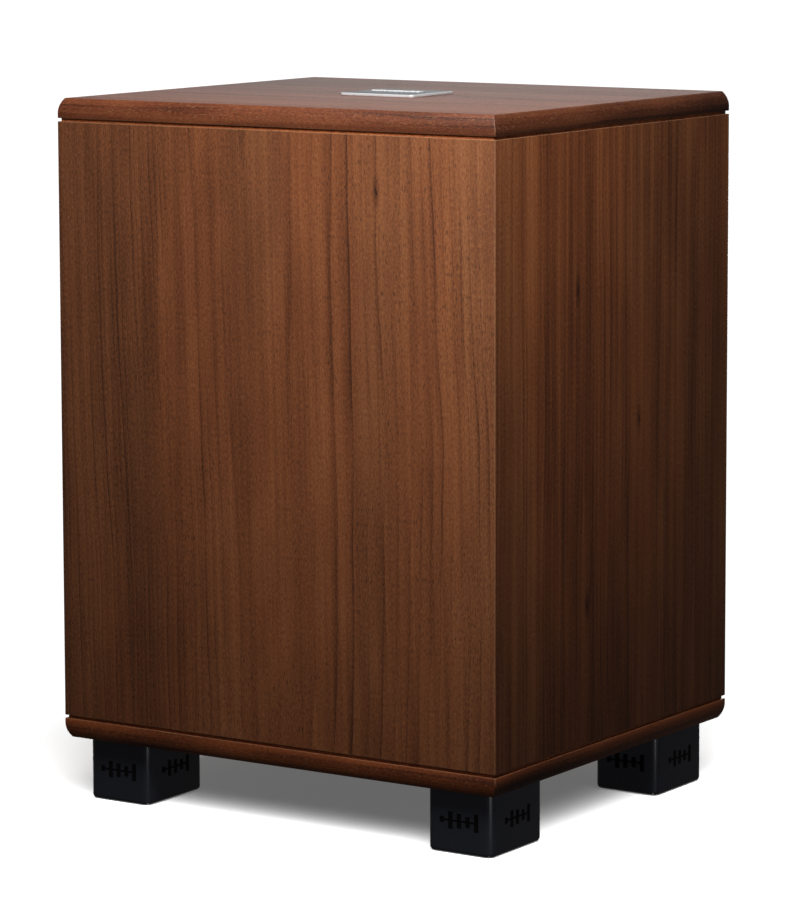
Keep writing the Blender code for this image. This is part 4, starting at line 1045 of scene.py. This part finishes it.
def flange_and_housing(node, housing_name, corner, edge, inset):
    """A moulded panel fitting: its flange on the plate, and its housing behind, set in from the rim."""
    low, high, centre = measured(node)
    width, height = high.x - low.x, high.z - low.z
    flange = slab(width, height, corner, 0, high.y - PLATE_Y, edge)
    shell = slab(width - 2 * inset, height - 2 * inset, 1 * MM, low.y - PLATE_Y, -0.02 * MM, 0.3 * MM)
    return [piece(f"{node}_moulded", facing_back(flange, centre.x, centre.z), GLOSS_BLACK,
                  replaces=[node]),
            piece(housing_name, facing_back(shell, centre.x, centre.z), GLOSS_BLACK)]


def make_inlet():
    _, high, centre = measured("mains_inlet")
    lip = high.y - PLATE_Y
    shells = flange_and_housing("mains_inlet", "mains_inlet_housing", 2.5 * MM, 0.5 * MM, 3.2 * MM)
    # the lead's socket has two slanted lower corners, so that the plug fits one way round
    half_x, half_z, slant = 12.1 * MM, 8.25 * MM, 4.2 * MM
    up = 8 * MM
    outline = [(-half_x, -half_z), (half_x, -half_z), (half_x, half_z - slant), (half_x - slant, half_z),
               (slant - half_x, half_z), (-half_x, half_z - slant)]
    floor = lip - 18 * MM
    drawer_low, drawer_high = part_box("fuse_drawer")
    room = Vector((GAP, GAP, GAP))
    for shell in shells:
        socket = facing_back(extruded(eased(outline, 1.0 * MM), floor, WALL), centre.x, centre.z + up)
        slot = block(drawer_low - room, (drawer_high.x + GAP, PLATE_Y + WALL, drawer_high.z + GAP), 0)
        carve(shell, socket, slot)
    pins = []
    for side, rise in ((-7 * MM, -2 * MM), (0, 2 * MM), (7 * MM, -2 * MM)):
        pin = block((-1 * MM, -2 * MM, floor - 0.5 * MM), (1 * MM, 2 * MM, floor + 13 * MM), 0.35 * MM)
        pins.append(facing_back(pin, centre.x + side, centre.z + up + rise))
    piece("mains_pins", together(*pins), NICKEL)
    make_fuse_drawer(drawer_low, drawer_high, centre.x)


def make_fuse_drawer(low, high, middle_x):
    """A tray that is open above, with a pull along its front's lower edge and a fuse lying in it."""
    body = "fuse_drawer"
    front, wall, thick = high.y - 1.2 * MM, 1.6 * MM, 3.0 * MM
    tray = block(low, (high.x, front, high.z), 0.3 * MM)
    drawer = piece("fuse_drawer_moulded", tray, MATT_BLACK, body, [body])
    carve(drawer, block((low.x + wall, low.y + wall, low.z + thick),
                        (high.x - wall, front - thick, high.z + WALL), 0))
    half_pull = 4 * MM
    pull = block((middle_x - half_pull, front - 0.5 * MM, low.z),
                 (middle_x + half_pull, high.y, low.z + wall), 0.3 * MM)
    piece("fuse_drawer_pull", pull, MATT_BLACK, body)
    along_x = Matrix.Rotation(math.pi / 2, 3, "Y")
    fuse_place = Vector((middle_x, (low.y + front) / 2, low.z + 4.5 * MM))
    glass = turned(0, 1.45 * MM, -6.5 * MM, 6.5 * MM, 0.1 * MM, 24)
    piece("fuse_glass", moved(glass, fuse_place, along_x), FUSE_GLASS, body)
    caps = []
    for side in (-7.6 * MM, 7.6 * MM):
        cap = turned(0, 1.55 * MM, -2.2 * MM, 2.2 * MM, 0.3 * MM, 24)
        caps.append(moved(cap, fuse_place + Vector((side, 0, 0)), along_x))
    piece("fuse_caps", together(*caps), NICKEL, body)


def make_rocker():
    _, _, centre = measured("rocker_frame")
    pivot = (centre.x, PLATE_Y, centre.z)
    half_x, half_z = 5.4 * MM, 9.3 * MM
    for shell in flange_and_housing("rocker_frame", "rocker_housing", 2 * MM, 0.4 * MM, 1.7 * MM):
        carve(shell, block((centre.x - half_x, PLATE_Y - 12 * MM, centre.z - half_z),
                           (centre.x + half_x, PLATE_Y + WALL, centre.z + half_z), 0))
    body = "power_rocker"
    half, steps = 8 * MM, 8
    outline = []
    for step in range(steps + 1):
        along = half - 2 * half * step / steps
        outline.append((along, (3.8 + 1.4 * (along / half)**2) * MM))
    shoulder, foot = half - 0.6 * MM, 3 * MM
    outline += [(-shoulder, 0.8 * MM), (-foot, -foot), (foot, -foot), (shoulder, 0.8 * MM)]
    key = extruded([(out, along) for along, out in outline], -5 * MM, 5 * MM, 0.35 * MM)
    tilt = Matrix.Rotation(-math.radians(11), 3, "X")
    upright = Matrix(((0, 0, 1), (1, 0, 0), (0, 1, 0)))
    piece("power_rocker_moulded", moved(key, pivot, tilt @ upright), MATT_BLACK, body, [body])
    # the usual stroke and ring of a mains switch
    stroke = block((-0.25 * MM, 4.3 * MM, 3.2 * MM), (0.25 * MM, 4.55 * MM, 5.8 * MM), 0)
    ring = turned(1.1 * MM, 1.5 * MM, -0.1 * MM, 0.1 * MM, sides=32)
    ring = moved(ring, (0, 4.42 * MM, -4.5 * MM), Matrix.Rotation(math.radians(11.1), 3, "X") @ BACKWARDS)
    piece("power_rocker_marks", moved(together(stroke, ring), pivot, tilt), WHITE_INK, body)


def make_jacks():
    jacks = (("line_jack_left", WHITE_RING), ("line_jack_right", RED_RING), ("lfe_jack", PURPLE_RING))
    for node, finish in jacks:
        low, high, centre = measured(node)
        reach, bottom = high.y - PLATE_Y, low.y - PLATE_Y
        bore, barrel, hole, nut, pin = 3.25 * MM, 4.15 * MM, 4.5 * MM, 6.5 * MM, 0.5 * MM
        shell = [(bore, reach), (barrel, reach), (barrel, 2.4 * MM), (6.6 * MM, 2.2 * MM), (6.8 * MM, 0.0),
                 (hole, 0.0), (hole, -3 * MM), (nut, -3 * MM), (nut, bottom), (pin, bottom), (pin, 0.0),
                 (bore, 0.0)]
        piece(f"{node}_barrel", facing_back(lathe(eased(shell, 0.25 * MM), 48), centre.x, centre.z), BRASS,
              replaces=[node])
        core = turned(1.7 * MM, 3.2 * MM, 0.2 * MM, reach - 0.6 * MM, 0.2 * MM, 40)
        piece(f"{node}_insulator", facing_back(core, centre.x, centre.z), finish)
        socket = turned(1.15 * MM, 1.65 * MM, 0.3 * MM, reach - 1.2 * MM, sides=32)
        piece(f"{node}_contact", facing_back(socket, centre.x, centre.z), BRASS)
        halo = turned(7.4 * MM, 8.3 * MM, 0, INK)
        piece(f"{node}_halo", facing_back(halo, centre.x, centre.z), finish)


def make_light():
    low, high, centre = measured("status_light")
    radius = (high.x - low.x) / 2
    top, rim, bottom = high.y - PLATE_Y, 0.3 * MM, -7 * MM
    dome = [(radius * math.cos(a), rim + (top - rim) * math.sin(a)) for a in arc(90, 0, 6)]
    lens = lathe([(0, top), *dome[1:], (radius, bottom), (0, bottom)], 32)
    piece("status_lens", facing_back(lens, centre.x, centre.z), BLUE_LIGHT,
          replaces=["status_light"])
    bezel = turned(1.55 * MM, 2.6 * MM, 0, 0.5 * MM, 0.2 * MM, 32)
    piece("status_bezel", facing_back(bezel, centre.x, centre.z), ZINC)


def finish_inner_pieces():
    """The remaining CAD nodes keep their shape and get their finish."""
    finishes = {
        FIBREBOARD: ("window_brace",),
        ZINC: ("crossover_pot", "level_pot", "phase_switch_body", "mode_switch_body",
               *(f"foot_bolt_{side}" for side in FEET)),
        GLOSS_BLACK: ("terminal_strip",),
        RUBBER: ("woofer_lead",),
        CIRCUIT: ("amp_board",),
        COPPER: ("power_transformer",),
        BLUE_SLEEVE: ("filter_capacitor_left", "filter_capacitor_right"),
    }
    for finish, nodes in finishes.items():
        for node in nodes:
            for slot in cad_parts[node].material_slots:
                slot.material = finish.material


# ---------------------------------------------------------------- stage, light and camera

def make_stage():
    """A pale floor that fades into the white of the studio. It shows from above only, and bounces no light."""
    white = (1.0, 1.0, 1.0, 1.0)
    finish = Finish("pale_floor", roughness=0.9, specular_ior_level=0.0, emission_strength=0.13,
                    emission_color=white)
    place = finish.place()
    haze = finish.noise(place, 2.0, 0.5, 0.8)
    finish.set(base_color=finish.mix(haze, (0.90, 0.90, 0.90), (0.93, 0.93, 0.93)))
    x, y, _ = finish.parts(place)
    far = ((x * x + y * y) ** 0.5).span(0.26, 0.42)
    below = finish.node("ShaderNodeNewGeometry", {}, {}, "Backfacing")
    clear = finish.node("ShaderNodeBsdfTransparent", {}, {}, "BSDF")
    solid = Flow(finish, finish.shader.outputs["BSDF"])
    unseen = far.calc("MAXIMUM", below)
    mixed = finish.node("ShaderNodeMixShader", {}, {0: unseen, 1: solid, 2: clear}, "Shader")
    finish.feed(finish.tree.nodes["Material Output"].inputs["Surface"], mixed)
    bm = bmesh.new()
    bmesh.ops.create_circle(bm, cap_ends=True, segments=96, radius=1.05)
    mesh = bpy.data.meshes.new("floor")
    bm.to_mesh(mesh)
    bm.free()
    mesh.materials.append(finish.material)
    floor = bpy.data.objects.new("floor", mesh)
    bpy.context.scene.collection.objects.link(floor)
    floor.visible_diffuse = False
    floor.visible_glossy = False
    return floor


def make_world():
    """A white studio. Only the camera sees it at full strength."""
    world = bpy.data.worlds.new("studio")
    world.use_nodes = True
    bpy.context.scene.world = world
    tree = world.node_tree
    back = tree.nodes["Background"]
    back.inputs["Color"].default_value = (1.0, 0.96, 0.92, 1)
    seen = tree.nodes.new("ShaderNodeBackground")
    seen.inputs["Color"].default_value = (1, 1, 1, 1)
    back.inputs["Strength"].default_value = 0.05
    seen.inputs["Strength"].default_value = 1.1
    chooser = tree.nodes.new("ShaderNodeMixShader")
    path = tree.nodes.new("ShaderNodeLightPath")
    tree.links.new(path.outputs["Is Camera Ray"], chooser.inputs[0])
    tree.links.new(back.outputs[0], chooser.inputs[1])
    tree.links.new(seen.outputs[0], chooser.inputs[2])
    tree.links.new(chooser.outputs[0], tree.nodes["World Output"].inputs["Surface"])


def soft_box(name, place, aim, size, power):
    data = bpy.data.lights.new(name, "AREA")
    data.shape = "RECTANGLE"
    data.size, data.size_y = size
    data.energy = power
    lamp = bpy.data.objects.new(name, data)
    lamp.location = place
    lamp.rotation_euler = (Vector(aim) - Vector(place)).to_track_quat("-Z", "Y").to_euler()
    bpy.context.scene.collection.objects.link(lamp)
    return lamp


def link_lamp(lamp, objects, state):
    """Says whether a lamp lights only these objects (INCLUDE), or everything but them (EXCLUDE)."""
    group = bpy.data.collections.new(f"{lamp.name}_link")
    for number, target in enumerate(objects):
        group.objects.link(target)
        group.collection_objects[number].light_linking.link_state = state
    lamp.light_linking.receiver_collection = group


def make_lights(floor, feet):
    object_lamps = [
        soft_box("key", (0.35, -0.62, 1.10), (0.08, -0.10, 0.28), (0.50, 0.50), 19.5),
        soft_box("back_sky", (-0.75, 2.3, 1.55), (0, 0, 0.45), (1.8, 1.0), 4),
        soft_box("lid_glow", (-0.55, 0.80, 0.72), (-0.15, 0.12, 0.48), (0.9, 0.25), 0.9),
        soft_box("rear_fill", (-0.7, 2.0, 0.22), (0, 0, 0.22), (1.2, 0.4), 24),
        soft_box("left_fill", (-1.9, 0.50, 0.22), (0, 0, 0.22), (1.0, 0.4), 14),
        soft_box("under_fill", (0, 0, -1.2), (0, 0, 0), (0.24, 0.24), 14),
    ]
    for lamp in object_lamps:
        link_lamp(lamp, [floor], "EXCLUDE")
    link_lamp(soft_box("floor_wash", (1.35, -1.73, 2.4), (0, 0, 0), (3.4, 2.0), 330), [floor], "INCLUDE")
    link_lamp(soft_box("corner_glint", (1.66, -1.10, 0.15), (0, 0, 0.02), (0.25, 0.8), 9), feet, "INCLUDE")


def make_camera():
    """The view is from the front right corner, about three metres away, through a long lens."""
    data = bpy.data.cameras.new("camera")
    data.lens = 166.95
    data.sensor_width = 36.0
    data.shift_y = -0.10
    data.clip_end = 200
    camera = bpy.data.objects.new("camera", data)
    camera.location = (1.57521, -2.38707, 0.65528)
    yaw, pitch, roll = math.radians(33.503), math.radians(7.069), math.radians(-0.156)
    look = Matrix.Identity(3)
    for angle, axis in ((yaw, "Z"), (math.pi / 2 - pitch, "X"), (roll, "Z")):
        look = look @ Matrix.Rotation(angle, 3, axis)
    camera.rotation_euler = look.to_euler()
    bpy.context.scene.collection.objects.link(camera)
    bpy.context.scene.camera = camera


make_camera()
make_cabinet()
feet = make_feet()
make_badge()
make_woofer()
make_plate()
make_heat_sink()
make_knobs()
make_levers()
make_inlet()
make_rocker()
make_jacks()
make_light()
finish_inner_pieces()
make_world()
make_lights(make_stage(), feet)
bpy.context.scene.view_settings.view_transform = "Standard"
